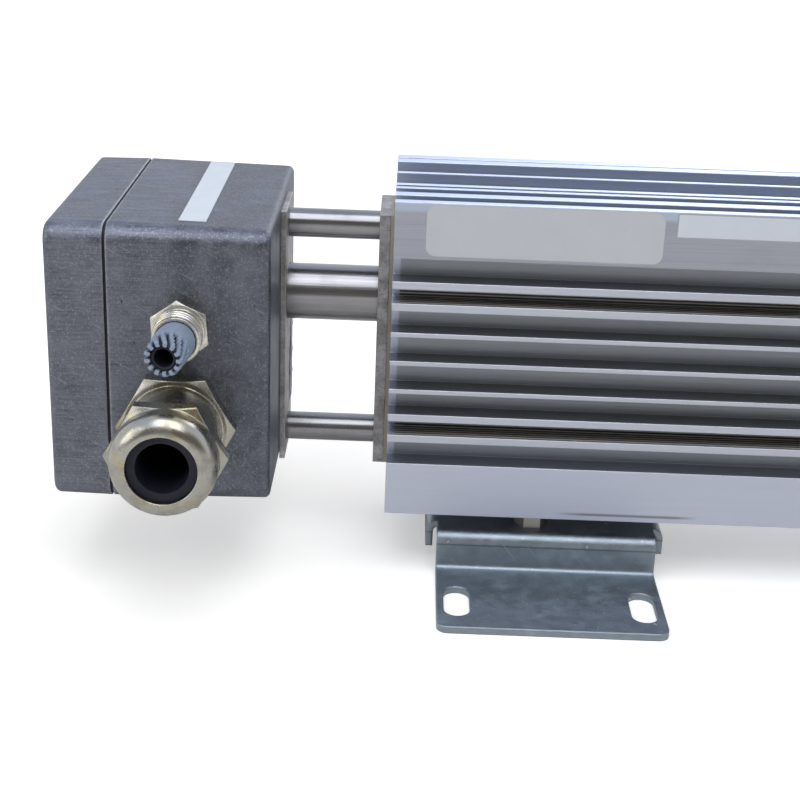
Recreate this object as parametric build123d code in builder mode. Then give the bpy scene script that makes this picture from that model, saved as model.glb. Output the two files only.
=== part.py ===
"""Braking resistor: a wire-wound element sealed in a finned aluminium profile, on two hat
brackets, with a die-cast terminal box held off the hot end by spacer tubes.

X runs along the profile with the terminal box at the low end, Y runs away from the side
with the cable glands, and Z is up.  The origin is on the mounting surface, under the
middle of the whole resistor's box.  All sizes are in millimetres.
"""

import os
from math import cos, radians, sin, tan

from build123d import *

os.makedirs("parts", exist_ok=True)

# Fits
sliding_clearance = 0.05
screw_hole_clearance = 0.25
fill_clearance = 0.1

# Finned profile, section and length
profile_length = 308.5
profile_depth = 55.0
profile_height = 88.0
profile_wall = 2.5
groove_depth = 7.0
fin_thickness = 1.2
fin_pitch = 8.0
fins_per_side = 3
strip_height = 15.0
strip_wall = 2.4
rib_height = 6.0
channel_from_middle = 18.65
channel_opening = 4.0
channel_lip = 2.0
serration_height = 0.35
serration_pitch = 1.45
serration_start = 0.45
serrations_per_wall = 4
chamber_depth = 17.0
chamber_height = 48.0
screw_port_spacing = 60.4
screw_port_block = 10.0

# Ribs on the top of the profile, each from and to a distance behind its front face, or
# before its rear one
front_ribs = [(7.2, 10.6), (15.0, 16.6), (18.7, 20.5)]
rear_ribs = [(0.0, 3.8), (5.0, 8.8), (21.0, 22.4)]

# Slots for the bracket bolts under the profile
slot_from_middle = 18.5
slot_opening = 5.4
slot_pocket_width = 8.6
slot_lip = 1.6
slot_wall = 1.6
centre_rib_gap = 7.8

# End plates, gaskets and the hot-end spacers
plate_width = 22.0
plate_height = 72.0
end_plate_thickness = 3.0
gasket_thickness = 1.0
flange_plate_thickness = 1.5
standoff = 25.0
spacer_tube_diameter = 8.0
conduit_diameter = 15.6
conduit_wall = 1.0
conduit_above_middle = 10.5
conduit_inside_box = 2.0

# Screws that hold the plates
long_screw_diameter = 4.0
long_screw_grip = 15.0
cheese_head_diameter = 7.0
cheese_head_height = 2.6
far_screw_length = 16.0
countersunk_head_diameter = 7.6
countersunk_head_height = 2.2
countersink_angle = 45.0
screw_slot_width = 1.0
screw_slot_depth = 1.1
screwdriver_clearance = 0.25

# Terminal box
box_length = 57.0
box_depth = 80.0
box_height = 75.0
lid_length = 15.0
seal_thickness = 0.8
seal_inset = 0.5
seal_width = 2.0
box_wall = 2.5
box_edge_radius = 5.0
box_end_radius = 1.6
box_draft = 1.0
box_shift_y = -3.0
box_shift_z = 1.5
post_radius = 4.2
post_inset = 6.0
lid_screw_diameter = 4.0
lid_screw_length = 20.0
lid_screw_sink = 3.2
lid_screw_head_diameter = 7.0
lid_screw_head_height = 2.6

# Cable glands
hex_chamfer_angle = 30.0
locknut_height = 3.0
gland_thread_inside = 7.0

# Large cable gland
large_gland_from_seam = 18.0
large_gland_below_middle = 15.0
large_gland_reach = 30.3
large_hex = 27.0
large_hex_turn = 0.0
large_hex_height = 4.5
large_collar_diameter = 24.6
large_thread_diameter = 20.0
large_thread_bore = 16.0
large_bore_diameter = 19.4
large_seal_seat = 10.4
large_nut_height = 11.5
large_nut_nose_radius = 4.6
large_nut_hex_height = 4.2
large_nut_wall = 1.6
large_opening_diameter = 17.8
large_seal_bore = 13.3
large_seal_recess = 1.6
large_locknut_hex = 24.0
large_claw_height = 2.6
large_claw_clearance = 0.2
large_claw_fingers = 16
large_claw_slit = 0.8
large_seal_shoulder = 0.5

# Small cable gland, which has lost its cap nut
small_gland_from_seam = 19.5
small_gland_above_middle = 11.8
small_hex = 14.0
small_hex_turn = 35.0
small_hex_height = 4.3
small_collar_length = 7.0
small_thread_diameter = 12.0
small_bore_diameter = 10.4
small_claw_diameter = 10.2
small_claw_tip_diameter = 9.3
small_claw_reach = 8.6
small_claw_rim = 3.6
small_claw_wall = 1.25
small_claw_fingers = 13
small_claw_slit = 0.55
small_claw_slant = 38.0
small_seal_sink = 1.1
small_seal_bore = 4.8
small_locknut_hex = 15.0

# Mounting brackets
bracket_thickness = 2.0
bracket_width = 61.0
bracket_height = 12.5
bracket_web_span = 55.0
bracket_foot_span = 122.0
bracket_bend_radius = 1.2
bracket_corner_radius = 3.0
bracket_from_end = 45.35
bracket_lip_overhang = 3.0
bracket_lip_length = 40.0
bracket_lip_height = 7.8
bracket_slot_spacing = 50.0
bracket_slot_span = 94.0
bracket_slot_length = 16.0
bracket_slot_width = 7.0
bracket_bolt_shift = 4.0

# Bracket bolts
bolt_diameter = 5.0
nut_hex = 8.0
nut_height = 4.7
washer_diameter = 10.0
washer_thickness = 0.8
bolt_head_height = 3.5
bolt_end = 1.2

# Resistance element
core_thickness = 8.0
core_height = 36.0
cap_thickness = 8.0
cap_from_end = 14.0
core_socket = 4.0
ribbon_width = 4.0
ribbon_thickness = 0.8
turn_pitch = 10.0
winding_margin = 6.0
winding_tab = 1.0
tab_width = 2.4
insulation_gap = 0.25

# Wiring and the parts in the box
power_wire_diameter = 2.0
sensor_wire_diameter = 1.4
wire_spacing = 7.0
power_wire_rise = 2.0
sensor_wire_drop = 3.0
lead_spacing = 6.4
lead_from_top = 2.5
wire_bend_radius = 3.0
switch_length = 8.0
switch_width = 10.0
switch_corner = 0.8
switch_height = 16.0
switch_from_end = 2.0
switch_below_middle = 12.0
terminal_poles = 4
terminal_pitch = 10.0
terminal_base_height = 14.0
terminal_crown_depth = 9.0
terminal_from_conduit = 6.5
terminal_from_wall = 2.5
terminal_screw_diameter = 4.0
terminal_screw_length = 5.0
terminal_wall = 1.2
funnel_depth = 3.0
wire_seat = 0.6
earth_screw_diameter = 5.0
earth_screw_length = 2.6
earth_head_diameter = 9.0
earth_head_height = 3.2
earth_clearance = 0.5

# Labels, all plain
label_thickness = 0.15
label_corner = 2.6
small_label_corner = 0.65
rating_label_length = 61.2
rating_label_height = 13.7
rating_label_from_end = 8.3
rating_label_above_strip = 0.9
second_label_length = 48.0
second_label_height = 6.6
second_label_gap = 3.0
box_label_width = 7.0
box_label_length = 66.0
box_label_from_seam = 18.0
box_label_shift = 1.5
second_label_from_top = 0.3

# Stations along X, from the lid's outer face to the far end plate
overall_length = (
    box_length + flange_plate_thickness + standoff + 2 * (end_plate_thickness + gasket_thickness)
    + profile_length
)
x_lid = -overall_length / 2
x_seam = x_lid + lid_length
x_base = x_seam + seal_thickness
x_box = x_lid + box_length
x_flange = x_box + flange_plate_thickness
x_plate = x_flange + standoff
x_gasket = x_plate + end_plate_thickness
x_profile = x_gasket + gasket_thickness
x_profile_end = x_profile + profile_length
x_far_plate = x_profile_end + gasket_thickness
x_floor = x_box - box_wall

# Middle lines across the resistor
draft = radians(box_draft)
gland_inset = (large_gland_from_seam - seal_thickness) * tan(draft)
gland_reach = box_depth / 2 - box_shift_y + large_gland_reach - gland_inset
y_middle = (gland_reach - bracket_foot_span / 2) / 2
z_profile = bracket_height + nut_height + washer_thickness
z_middle = z_profile + profile_height / 2
y_box = y_middle + box_shift_y
z_box = z_middle + box_shift_z

# Shared diameters
screw_port_diameter = long_screw_diameter + 2 * sliding_clearance
screw_hole_diameter = long_screw_diameter + 2 * screw_hole_clearance
conduit_hole_diameter = conduit_diameter + 2 * sliding_clearance
conduit_bore = conduit_diameter - 2 * conduit_wall
port_points = [(0, -screw_port_spacing / 2), (0, screw_port_spacing / 2)]


def section_plane(x):
    """Plane across the profile at x: its own x is Y from the middle, its own y is Z."""
    return Plane(origin=(x, y_middle, z_middle), x_dir=(0, 1, 0), z_dir=(1, 0, 0))


def box_plane(x, outward=1):
    """Plane across the terminal box at x, facing +X or, with outward of -1, facing -X."""
    return Plane(origin=(x, y_box, z_box), x_dir=(0, outward, 0), z_dir=(outward, 0, 0))


def write(built, node):
    """Name one finished piece and write it."""
    built.part.label = node
    export_step(built.part, f"parts/{node}.step")


def bar(left, right, low, high, mode=Mode.ADD):
    """Rectangle of a section, from its edges."""
    with Locations(((left + right) / 2, (low + high) / 2)):
        Rectangle(right - left, high - low, mode=mode)


# Finned profile: one extrusion, alike on its front and rear, with a chamber for the element
half_depth = profile_depth / 2
half_height = profile_height / 2
root = half_depth - groove_depth
floor = half_height - rib_height
chamber_half_depth = chamber_depth / 2
chamber_half_height = chamber_height / 2


def serrations(side, wall, direction):
    """Ridges along one wall of a screw channel, each a low triangle in the section."""
    for number in range(serrations_per_wall):
        near = root + serration_start + serration_pitch * number
        tip = near + serration_pitch / 2
        Polygon(
            (side * near, wall),
            (side * tip, wall + direction * serration_height),
            (side * (near + serration_pitch), wall),
            align=None,
        )


def front_features(side):
    """Root wall, fins, screw channels and end strips of one long side."""
    bar(*sorted((side * (root - profile_wall), side * root)), -floor, floor)
    for number in range(fins_per_side):
        middle = (number - (fins_per_side - 1) / 2) * fin_pitch
        low, high = middle - fin_thickness / 2, middle + fin_thickness / 2
        bar(*sorted((side * (root - profile_wall), side * half_depth)), low, high)
    for level in (-channel_from_middle, channel_from_middle):
        for edge in (-1, 1):
            inner = level + edge * channel_opening / 2
            outer = inner + edge * channel_lip
            across = sorted((side * (root - profile_wall), side * half_depth))
            bar(*across, *sorted((inner, outer)))
            serrations(side, inner, -edge)
    for end in (-1, 1):
        lower = end * (half_height - strip_height)
        ledge = lower + end * profile_wall
        bar(*sorted((side * (half_depth - strip_wall), side * half_depth)),
            *sorted((lower, end * half_height)))
        bar(*sorted((side * (root - profile_wall), side * half_depth)), *sorted((lower, ledge)))


with BuildPart() as heat_sink_profile:
    with BuildSketch(section_plane(x_profile)) as profile_section:
        # Floors under the ribs, and the walls of the chamber
        for level in (-floor, floor - profile_wall):
            bar(-half_depth, half_depth, level, level + profile_wall)
        Rectangle(chamber_depth + 2 * profile_wall, chamber_height + 2 * profile_wall)
        # Webs that tie the chamber to both long sides
        for level in (-chamber_half_height - profile_wall, -profile_wall / 2, chamber_half_height):
            bar(-root, root, level, level + profile_wall)
        # Blocks round the screw ports
        for end in (-1, 1):
            bar(-screw_port_block / 2, screw_port_block / 2,
                *sorted((end * chamber_half_height, end * floor)))
        for side in (-1, 1):
            front_features(side)
        # Ribs on the top
        for near, far in front_ribs:
            bar(near - half_depth, far - half_depth, floor, half_height)
        for near, far in rear_ribs:
            bar(half_depth - far, half_depth - near, floor, half_height)
        # Bolt slots and centre ribs underneath
        for side in (-1, 1):
            slot = side * slot_from_middle
            pocket = slot_pocket_width / 2
            for edge in (-1, 1):
                bar(*sorted((slot + edge * pocket, slot + edge * (pocket + slot_wall))),
                    -half_height, -floor)
                bar(*sorted((slot + edge * slot_opening / 2, slot + edge * (pocket + slot_wall))),
                    -half_height, -half_height + slot_lip)
            rib = side * centre_rib_gap / 2
            bar(*sorted((rib, rib + side * slot_wall)), -half_height, -floor)
        Rectangle(chamber_depth, chamber_height, mode=Mode.SUBTRACT)
        with Locations(*port_points):
            Circle(screw_port_diameter / 2, mode=Mode.SUBTRACT)
    extrude(amount=profile_length)
write(heat_sink_profile, "heat_sink_profile")


def connector_plate(x, thickness, with_conduit, hole_diameter):
    """Plate or gasket that closes the chamber: a rectangle with its screw and conduit holes."""
    with BuildPart() as plate:
        with BuildSketch(section_plane(x)):
            Rectangle(plate_width, plate_height)
            with Locations(*port_points):
                Circle(screw_hole_diameter / 2, mode=Mode.SUBTRACT)
            if with_conduit:
                with Locations((0, conduit_above_middle)):
                    Circle(hole_diameter / 2, mode=Mode.SUBTRACT)
        extrude(amount=thickness)
    return plate


write(connector_plate(x_plate, end_plate_thickness, True, conduit_hole_diameter), "near_end_plate")
write(connector_plate(x_gasket, gasket_thickness, True, conduit_bore), "near_end_gasket")
write(connector_plate(x_box, flange_plate_thickness, True, conduit_hole_diameter),
      "box_flange_plate")
write(connector_plate(x_profile_end, gasket_thickness, False, conduit_bore), "far_end_gasket")

with BuildPart() as far_end_plate:
    add(connector_plate(x_far_plate, end_plate_thickness, False, conduit_bore).part)
    with BuildSketch(section_plane(x_far_plate + end_plate_thickness)):
        with Locations(*port_points):
            Circle(countersunk_head_diameter / 2 + sliding_clearance)
    extrude(amount=-countersunk_head_height, taper=countersink_angle, mode=Mode.SUBTRACT)
write(far_end_plate, "far_end_plate")

with BuildPart() as far_end_screws:
    x_head = x_far_plate + end_plate_thickness
    with BuildSketch(section_plane(x_head)):
        with Locations(*port_points):
            Circle(countersunk_head_diameter / 2 - sliding_clearance)
    extrude(amount=-countersunk_head_height + sliding_clearance, taper=countersink_angle)
    with BuildSketch(section_plane(x_head)):
        with Locations(*port_points):
            Circle(long_screw_diameter / 2)
    extrude(amount=-far_screw_length)
    with BuildSketch(section_plane(x_head)):
        with Locations(*port_points):
            Rectangle(countersunk_head_diameter, screw_slot_width)
    extrude(amount=-screw_slot_depth, mode=Mode.SUBTRACT)
write(far_end_screws, "far_end_screws")


# Spacer tubes, the conduit and the long screws that hold the box to the profile
def spacer_tube(level):
    """Tube round one long screw, from the flange plate to the end plate."""
    with BuildPart() as tube:
        with BuildSketch(section_plane(x_flange)):
            with Locations((0, level)):
                Circle(spacer_tube_diameter / 2)
                Circle(screw_hole_diameter / 2, mode=Mode.SUBTRACT)
        extrude(amount=standoff)
    return tube


write(spacer_tube(screw_port_spacing / 2), "upper_spacer_tube")
write(spacer_tube(-screw_port_spacing / 2), "lower_spacer_tube")

with BuildPart() as conduit_tube:
    with BuildSketch(section_plane(x_floor - conduit_inside_box)):
        with Locations((0, conduit_above_middle)):
            Circle(conduit_diameter / 2)
            Circle(conduit_bore / 2, mode=Mode.SUBTRACT)
    extrude(amount=x_gasket - x_floor + conduit_inside_box)
write(conduit_tube, "conduit_tube")

with BuildPart() as long_fixing_screws:
    with BuildSketch(section_plane(x_floor)):
        with Locations(*port_points):
            Circle(cheese_head_diameter / 2)
    extrude(amount=-cheese_head_height)
    with BuildSketch(section_plane(x_floor - cheese_head_height)):
        with Locations(*port_points):
            Rectangle(cheese_head_diameter, screw_slot_width)
    extrude(amount=screw_slot_depth, mode=Mode.SUBTRACT)
    with BuildSketch(section_plane(x_floor)):
        with Locations(*port_points):
            Circle(long_screw_diameter / 2)
    extrude(amount=x_profile - x_floor + long_screw_grip)
write(long_fixing_screws, "long_fixing_screws")


# Terminal box: a die-cast base and lid with drafted walls and corner posts
def box_face_drop(from_seam):
    """How far the drafted wall has moved in at a distance from the base's open edge."""
    return from_seam * tan(draft)


def gland_plane(from_seam, above_middle):
    """Plane on the drafted front wall of the base, with its own z pointing out of the wall."""
    from_base = from_seam - seal_thickness
    face = (x_seam + from_seam, y_box - box_depth / 2 + box_face_drop(from_base),
            z_box + above_middle)
    return Plane(origin=face, x_dir=(cos(draft), sin(draft), 0), z_dir=(sin(draft), -cos(draft), 0))


post_points = [
    (side * (box_depth / 2 - post_inset), end * (box_height / 2 - post_inset))
    for side in (-1, 1)
    for end in (-1, 1)
]
large_plane = gland_plane(large_gland_from_seam, -large_gland_below_middle)
small_plane = gland_plane(small_gland_from_seam, small_gland_above_middle)
base_length = x_box - x_base
port_points_in_box = [(y - box_shift_y, z - box_shift_z) for y, z in port_points]
y_terminals = conduit_bore / 2 + terminal_from_conduit
y_rear_wall = box_shift_y + box_depth / 2 - box_wall - box_face_drop(base_length)
terminal_depth = y_rear_wall - terminal_from_wall - y_terminals
earth_point = (
    box_shift_y + box_depth / 2 - post_inset - post_radius - earth_clearance
    - earth_head_diameter / 2,
    box_shift_z - box_height / 2 + 2 * box_wall + earth_head_diameter / 2,
)

with BuildPart() as terminal_box_base:
    with BuildSketch(box_plane(x_base)):
        RectangleRounded(box_depth, box_height, box_edge_radius)
    extrude(amount=base_length, taper=box_draft)
    fillet(terminal_box_base.faces().sort_by(Axis.X)[-1].edges(), box_end_radius)
    with BuildSketch(box_plane(x_base)):
        RectangleRounded(box_depth - 2 * box_wall, box_height - 2 * box_wall,
                         box_edge_radius - box_wall)
    extrude(amount=base_length - box_wall, taper=box_draft, mode=Mode.SUBTRACT)
    with BuildSketch(box_plane(x_base)):
        with Locations(*post_points):
            Circle(post_radius)
    extrude(amount=base_length - box_wall)
    with BuildSketch(box_plane(x_base)):
        with Locations(*post_points):
            Circle(lid_screw_diameter / 2 + sliding_clearance)
    extrude(amount=lid_screw_length, mode=Mode.SUBTRACT)
    with BuildSketch(box_plane(x_floor)):
        with Locations(*port_points_in_box):
            Circle(screw_hole_diameter / 2)
        with Locations((-box_shift_y, conduit_above_middle - box_shift_z)):
            Circle(conduit_hole_diameter / 2)
    extrude(amount=box_wall, mode=Mode.SUBTRACT)
    # Grooves that let the long screws' heads and a screwdriver pass the drafted walls
    with BuildSketch(box_plane(x_floor)):
        with Locations(*port_points_in_box):
            Circle(cheese_head_diameter / 2 + screwdriver_clearance)
    extrude(amount=x_base - x_floor, mode=Mode.SUBTRACT)
    with BuildSketch(section_plane(x_floor)):
        with Locations(earth_point):
            Circle(earth_screw_diameter / 2 + sliding_clearance)
    extrude(amount=earth_screw_length + sliding_clearance, mode=Mode.SUBTRACT)
    with BuildSketch(large_plane):
        Circle(large_thread_diameter / 2 + sliding_clearance)
    extrude(amount=-gland_thread_inside, mode=Mode.SUBTRACT)
    with BuildSketch(small_plane):
        Circle(small_thread_diameter / 2 + sliding_clearance)
    extrude(amount=-gland_thread_inside, mode=Mode.SUBTRACT)
write(terminal_box_base, "terminal_box_base")

lid_bore_depth = lid_length - lid_screw_sink
with BuildPart() as terminal_box_lid:
    with BuildSketch(box_plane(x_seam, -1)):
        RectangleRounded(box_depth, box_height, box_edge_radius)
    extrude(amount=lid_length, taper=box_draft)
    fillet(terminal_box_lid.faces().sort_by(Axis.X)[0].edges(), box_end_radius)
    with BuildSketch(box_plane(x_seam, -1)):
        RectangleRounded(box_depth - 2 * box_wall, box_height - 2 * box_wall,
                         box_edge_radius - box_wall)
    extrude(amount=lid_length - box_wall, taper=box_draft, mode=Mode.SUBTRACT)
    with BuildSketch(box_plane(x_seam, -1)):
        with Locations(*post_points):
            Circle(post_radius)
    extrude(amount=lid_length - box_wall)
    with BuildSketch(box_plane(x_seam, -1)):
        with Locations(*post_points):
            Circle(lid_screw_diameter / 2 + screw_hole_clearance)
    extrude(amount=lid_length, mode=Mode.SUBTRACT)
    with BuildSketch(box_plane(x_lid)):
        with Locations(*post_points):
            Circle(lid_screw_head_diameter / 2 + screw_hole_clearance)
    extrude(amount=lid_screw_sink, mode=Mode.SUBTRACT)
write(terminal_box_lid, "terminal_box_lid")

with BuildPart() as lid_seal:
    outer_depth = box_depth - 2 * seal_inset
    outer_height = box_height - 2 * seal_inset
    with BuildSketch(box_plane(x_seam)):
        RectangleRounded(outer_depth, outer_height, box_edge_radius - seal_inset)
        RectangleRounded(outer_depth - 2 * seal_width, outer_height - 2 * seal_width,
                         box_edge_radius - seal_inset - seal_width, mode=Mode.SUBTRACT)
    extrude(amount=seal_thickness)
write(lid_seal, "lid_seal")

with BuildPart() as lid_screws:
    with BuildSketch(box_plane(x_lid + lid_screw_sink)):
        with Locations(*post_points):
            Circle(lid_screw_head_diameter / 2)
    extrude(amount=-lid_screw_head_height)
    with BuildSketch(box_plane(x_lid + lid_screw_sink - lid_screw_head_height)):
        with Locations(*post_points):
            Rectangle(lid_screw_head_diameter, screw_slot_width)
    extrude(amount=screw_slot_depth, mode=Mode.SUBTRACT)
    with BuildSketch(box_plane(x_lid + lid_screw_sink)):
        with Locations(*post_points):
            Circle(lid_screw_diameter / 2)
    extrude(amount=lid_screw_length)
write(lid_screws, "lid_screws")


# Cable glands, each turned about its plane's z, which points out of the wall
def side_of(plane):
    """Plane through a gland's axis: its own y runs out of the wall along the axis."""
    return Plane(origin=plane.origin, x_dir=plane.x_dir, z_dir=-plane.y_dir)


def axis_of(plane):
    return Axis(plane.origin, plane.z_dir)


def turned(plane, points, mode=Mode.ADD):
    """Revolve a closed outline of (radius, height) points about the gland's axis."""
    with BuildSketch(side_of(plane)) as outline:
        with BuildLine():
            Polyline(*points, close=True)
        make_face()
    revolve(outline.sketch, axis=axis_of(plane), mode=mode)


def chamfered_hexagon(plane, across, height, turn, front=True):
    """Hexagonal prism whose corners are turned off by a cone at its front, or at its back."""
    corner = across / 2 / cos(radians(30)) + sliding_clearance
    drop = (corner - across / 2) * tan(radians(hex_chamfer_angle))
    with BuildSketch(plane) as hexagon:
        RegularPolygon(across / 2, 6, major_radius=False, rotation=turn)
    extrude(hexagon.sketch, amount=height)
    if front:
        outline = [(0, 0), (corner, 0), (corner, height - drop), (across / 2, height), (0, height)]
    else:
        outline = [(0, 0), (across / 2, 0), (corner, drop), (corner, height), (0, height)]
    turned(plane, outline, Mode.INTERSECT)


def drill(plane, diameter, start, end):
    """Round hole along the gland's axis between two heights."""
    with BuildSketch(plane.offset(start)) as hole:
        Circle(diameter / 2)
    extrude(hole.sketch, amount=end - start, mode=Mode.SUBTRACT)


def shaft(plane, diameter, start, end):
    """Round collar or thread along the gland's axis between two heights."""
    with BuildSketch(plane.offset(start)) as circle:
        Circle(diameter / 2)
    extrude(circle.sketch, amount=end - start)


def locknut(plane, across, thread_diameter):
    """Hexagon nut on the gland's thread, against the inside of the wall."""
    inner = plane.offset(-box_wall - locknut_height)
    with BuildPart() as nut:
        chamfered_hexagon(inner, across, locknut_height, 0, front=False)
        drill(inner, thread_diameter + 2 * sliding_clearance, 0, locknut_height)
    return nut


large_nut_start = large_gland_reach - large_nut_height
with BuildPart() as large_gland_body:
    chamfered_hexagon(large_plane, large_hex, large_hex_height, large_hex_turn)
    shaft(large_plane, large_collar_diameter, large_hex_height, large_nut_start)
    shaft(large_plane, large_thread_diameter, -gland_thread_inside, 0)
    # Thinner threaded neck that the cap nut screws on
    neck_diameter = large_hex - 2 * large_nut_wall - 2 * sliding_clearance
    neck_end = large_nut_start + large_nut_hex_height
    shaft(large_plane, neck_diameter, large_nut_start, neck_end)
    drill(large_plane, large_thread_bore, -gland_thread_inside, neck_end)
    drill(large_plane, large_bore_diameter, large_seal_seat, neck_end)
write(large_gland_body, "large_gland_body")

nut_plane = large_plane.offset(large_nut_start)
cone_start = large_nut_hex_height + sliding_clearance
cone_end = large_nut_height - large_seal_recess
with BuildPart() as large_gland_nut:
    chamfered_hexagon(nut_plane, large_hex, large_nut_hex_height, large_hex_turn)
    with BuildSketch(side_of(nut_plane)):
        with BuildLine():
            rim = large_hex / 2
            flat = rim - large_nut_nose_radius
            Line((0, 0), (rim, 0))
            Line((rim, 0), (rim, large_nut_height - large_nut_nose_radius))
            RadiusArc((rim, large_nut_height - large_nut_nose_radius), (flat, large_nut_height),
                      -large_nut_nose_radius)
            Line((flat, large_nut_height), (0, large_nut_height))
            Line((0, large_nut_height), (0, 0))
        make_face()
    revolve(axis=axis_of(nut_plane))
    drill(nut_plane, large_hex - 2 * large_nut_wall, 0, cone_start)
    drill(nut_plane, large_opening_diameter, 0, large_nut_height)
    # Cone inside the nose, which presses the seal inwards
    turned(nut_plane, [
        (0, cone_start),
        (large_hex / 2 - large_nut_wall, cone_start),
        (large_opening_diameter / 2, cone_end),
        (0, cone_end),
    ], Mode.SUBTRACT)
write(large_gland_nut, "large_gland_nut")

with BuildPart() as large_gland_seal:
    seal_outer = large_bore_diameter / 2 - sliding_clearance
    mouth = large_opening_diameter / 2 - sliding_clearance
    seal_end = large_gland_reach - large_seal_recess
    shoulder = seal_end - large_seal_shoulder
    turned(large_plane, [
        (large_seal_bore / 2, large_seal_seat),
        (seal_outer, large_seal_seat),
        (seal_outer, large_nut_start + large_nut_hex_height),
        (mouth, shoulder),
        (mouth, seal_end),
        (large_seal_bore / 2, seal_end),
    ])
write(large_gland_seal, "large_gland_seal")

with BuildPart() as large_gland_claw:
    # The ring follows the cone inside the nut, and slits part it into fingers
    cone_slope = (large_hex / 2 - large_nut_wall - large_opening_diameter / 2) / (
        cone_end - cone_start)
    claw_outer = large_hex / 2 - large_nut_wall - large_claw_clearance
    turned(nut_plane, [
        (large_bore_diameter / 2, cone_start),
        (claw_outer, cone_start),
        (claw_outer - cone_slope * large_claw_height, cone_start + large_claw_height),
        (large_bore_diameter / 2, cone_start + large_claw_height),
    ])
    with BuildSketch(nut_plane.offset(cone_start + large_claw_height)):
        with PolarLocations(large_bore_diameter / 2 + large_nut_wall, large_claw_fingers):
            Rectangle(4 * large_nut_wall, large_claw_slit)
    extrude(amount=-large_claw_height / 2, mode=Mode.SUBTRACT)
write(large_gland_claw, "large_gland_claw")

write(locknut(large_plane, large_locknut_hex, large_thread_diameter), "large_gland_locknut")

small_collar_end = small_hex_height + small_collar_length
with BuildPart() as small_gland_body:
    chamfered_hexagon(small_plane, small_hex, small_hex_height, small_hex_turn)
    shaft(small_plane, small_thread_diameter, small_hex_height, small_collar_end)
    shaft(small_plane, small_thread_diameter, -gland_thread_inside, 0)
    drill(small_plane, small_bore_diameter, small_hex_height, small_collar_end)
    drill(small_plane, small_claw_diameter - 2 * small_claw_wall, -gland_thread_inside,
          small_hex_height)
write(small_gland_body, "small_gland_body")

claw_tip = small_collar_end + small_claw_reach
claw_inner = small_claw_diameter / 2 - small_claw_wall
claw_tip_inner = small_claw_tip_diameter / 2 - small_claw_wall
with BuildPart() as small_gland_claw:
    turned(small_plane, [
        (claw_inner, small_hex_height),
        (small_claw_diameter / 2, small_hex_height),
        (small_claw_diameter / 2, small_collar_end + small_claw_rim),
        (small_claw_tip_diameter / 2, claw_tip),
        (claw_tip_inner, claw_tip),
        (claw_inner, small_collar_end + small_claw_rim),
    ])
    # Slanted slits part the rim into fingers
    with BuildSketch(small_plane.offset(claw_tip)):
        with PolarLocations(small_claw_tip_diameter / 2 - small_claw_wall / 2,
                            small_claw_fingers):
            Rectangle(4 * small_claw_wall, small_claw_slit, rotation=small_claw_slant)
    extrude(amount=-(small_claw_reach - small_claw_rim), mode=Mode.SUBTRACT)
write(small_gland_claw, "small_gland_claw")

with BuildPart() as small_gland_seal:
    seal_radius = claw_tip_inner - sliding_clearance
    shaft(small_plane, 2 * seal_radius, small_hex_height, claw_tip - small_seal_sink)
    drill(small_plane, small_seal_bore, small_hex_height, claw_tip)
write(small_gland_seal, "small_gland_seal")

write(locknut(small_plane, small_locknut_hex, small_thread_diameter), "small_gland_locknut")


# Mounting brackets: a hat folded from sheet, with a foot on each side and two turned-down ends
def bracket_outline():
    """Middle line of the sheet across the hat, from the front foot to the rear one."""
    middle = bracket_thickness / 2
    foot = bracket_foot_span / 2
    web = bracket_web_span / 2 - middle
    top = bracket_height - middle
    return [(-foot, middle), (-web, middle), (-web, top), (web, top), (web, middle), (foot, middle)]


def mounting_bracket(x_centre, bolt_shift):
    """One bracket, with its bolts shifted along X from its middle."""
    middle_radius = bracket_bend_radius + bracket_thickness / 2
    lip_outer = bracket_width / 2 + bracket_lip_overhang - bracket_thickness / 2
    lip_top = bracket_height - bracket_thickness / 2
    lip_bottom = bracket_height - bracket_lip_height
    with BuildPart() as bracket:
        with BuildSketch(Plane(origin=(x_centre, y_middle, 0), x_dir=(0, 1, 0), z_dir=(1, 0, 0))):
            with BuildLine():
                hat = FilletPolyline(*bracket_outline(), radius=middle_radius)
            trace(hat, line_width=bracket_thickness)
        extrude(amount=bracket_width / 2, both=True)
        with BuildSketch(Plane(origin=(x_centre, y_middle, 0), x_dir=(1, 0, 0), z_dir=(0, -1, 0))):
            with BuildLine():
                lips = FilletPolyline((-lip_outer, lip_bottom), (-lip_outer, lip_top),
                                      (lip_outer, lip_top), (lip_outer, lip_bottom),
                                      radius=middle_radius)
            trace(lips, line_width=bracket_thickness)
        extrude(amount=bracket_lip_length / 2, both=True)
        foot_edges = bracket.edges().filter_by(Axis.Z).group_by(
            lambda edge: round(abs(edge.center().Y - y_middle)))[-1]
        fillet(foot_edges, bracket_corner_radius)
        with BuildSketch(Plane(origin=(x_centre, y_middle, 0))):
            with GridLocations(bracket_slot_spacing, bracket_slot_span, 2, 2):
                SlotOverall(bracket_slot_length, bracket_slot_width, rotation=90)
            with Locations((bolt_shift, 0)):
                with GridLocations(0, 2 * slot_from_middle, 1, 2):
                    Circle(bolt_diameter / 2 + screw_hole_clearance)
        extrude(amount=bracket_height, mode=Mode.SUBTRACT)
    return bracket


x_near_bracket = x_profile + bracket_from_end
x_far_bracket = x_profile_end - bracket_from_end
write(mounting_bracket(x_near_bracket, -bracket_bolt_shift), "near_mounting_bracket")
write(mounting_bracket(x_far_bracket, bracket_bolt_shift), "far_mounting_bracket")

# Bolts, washers and nuts of the brackets: the heads sit in the slots under the profile
bolt_points = [
    (x, y_middle + side * slot_from_middle)
    for x in (x_near_bracket - bracket_bolt_shift, x_far_bracket + bracket_bolt_shift)
    for side in (-1, 1)
]
z_head = z_profile + slot_lip
z_lock_nut = bracket_height - bracket_thickness - nut_height


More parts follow.
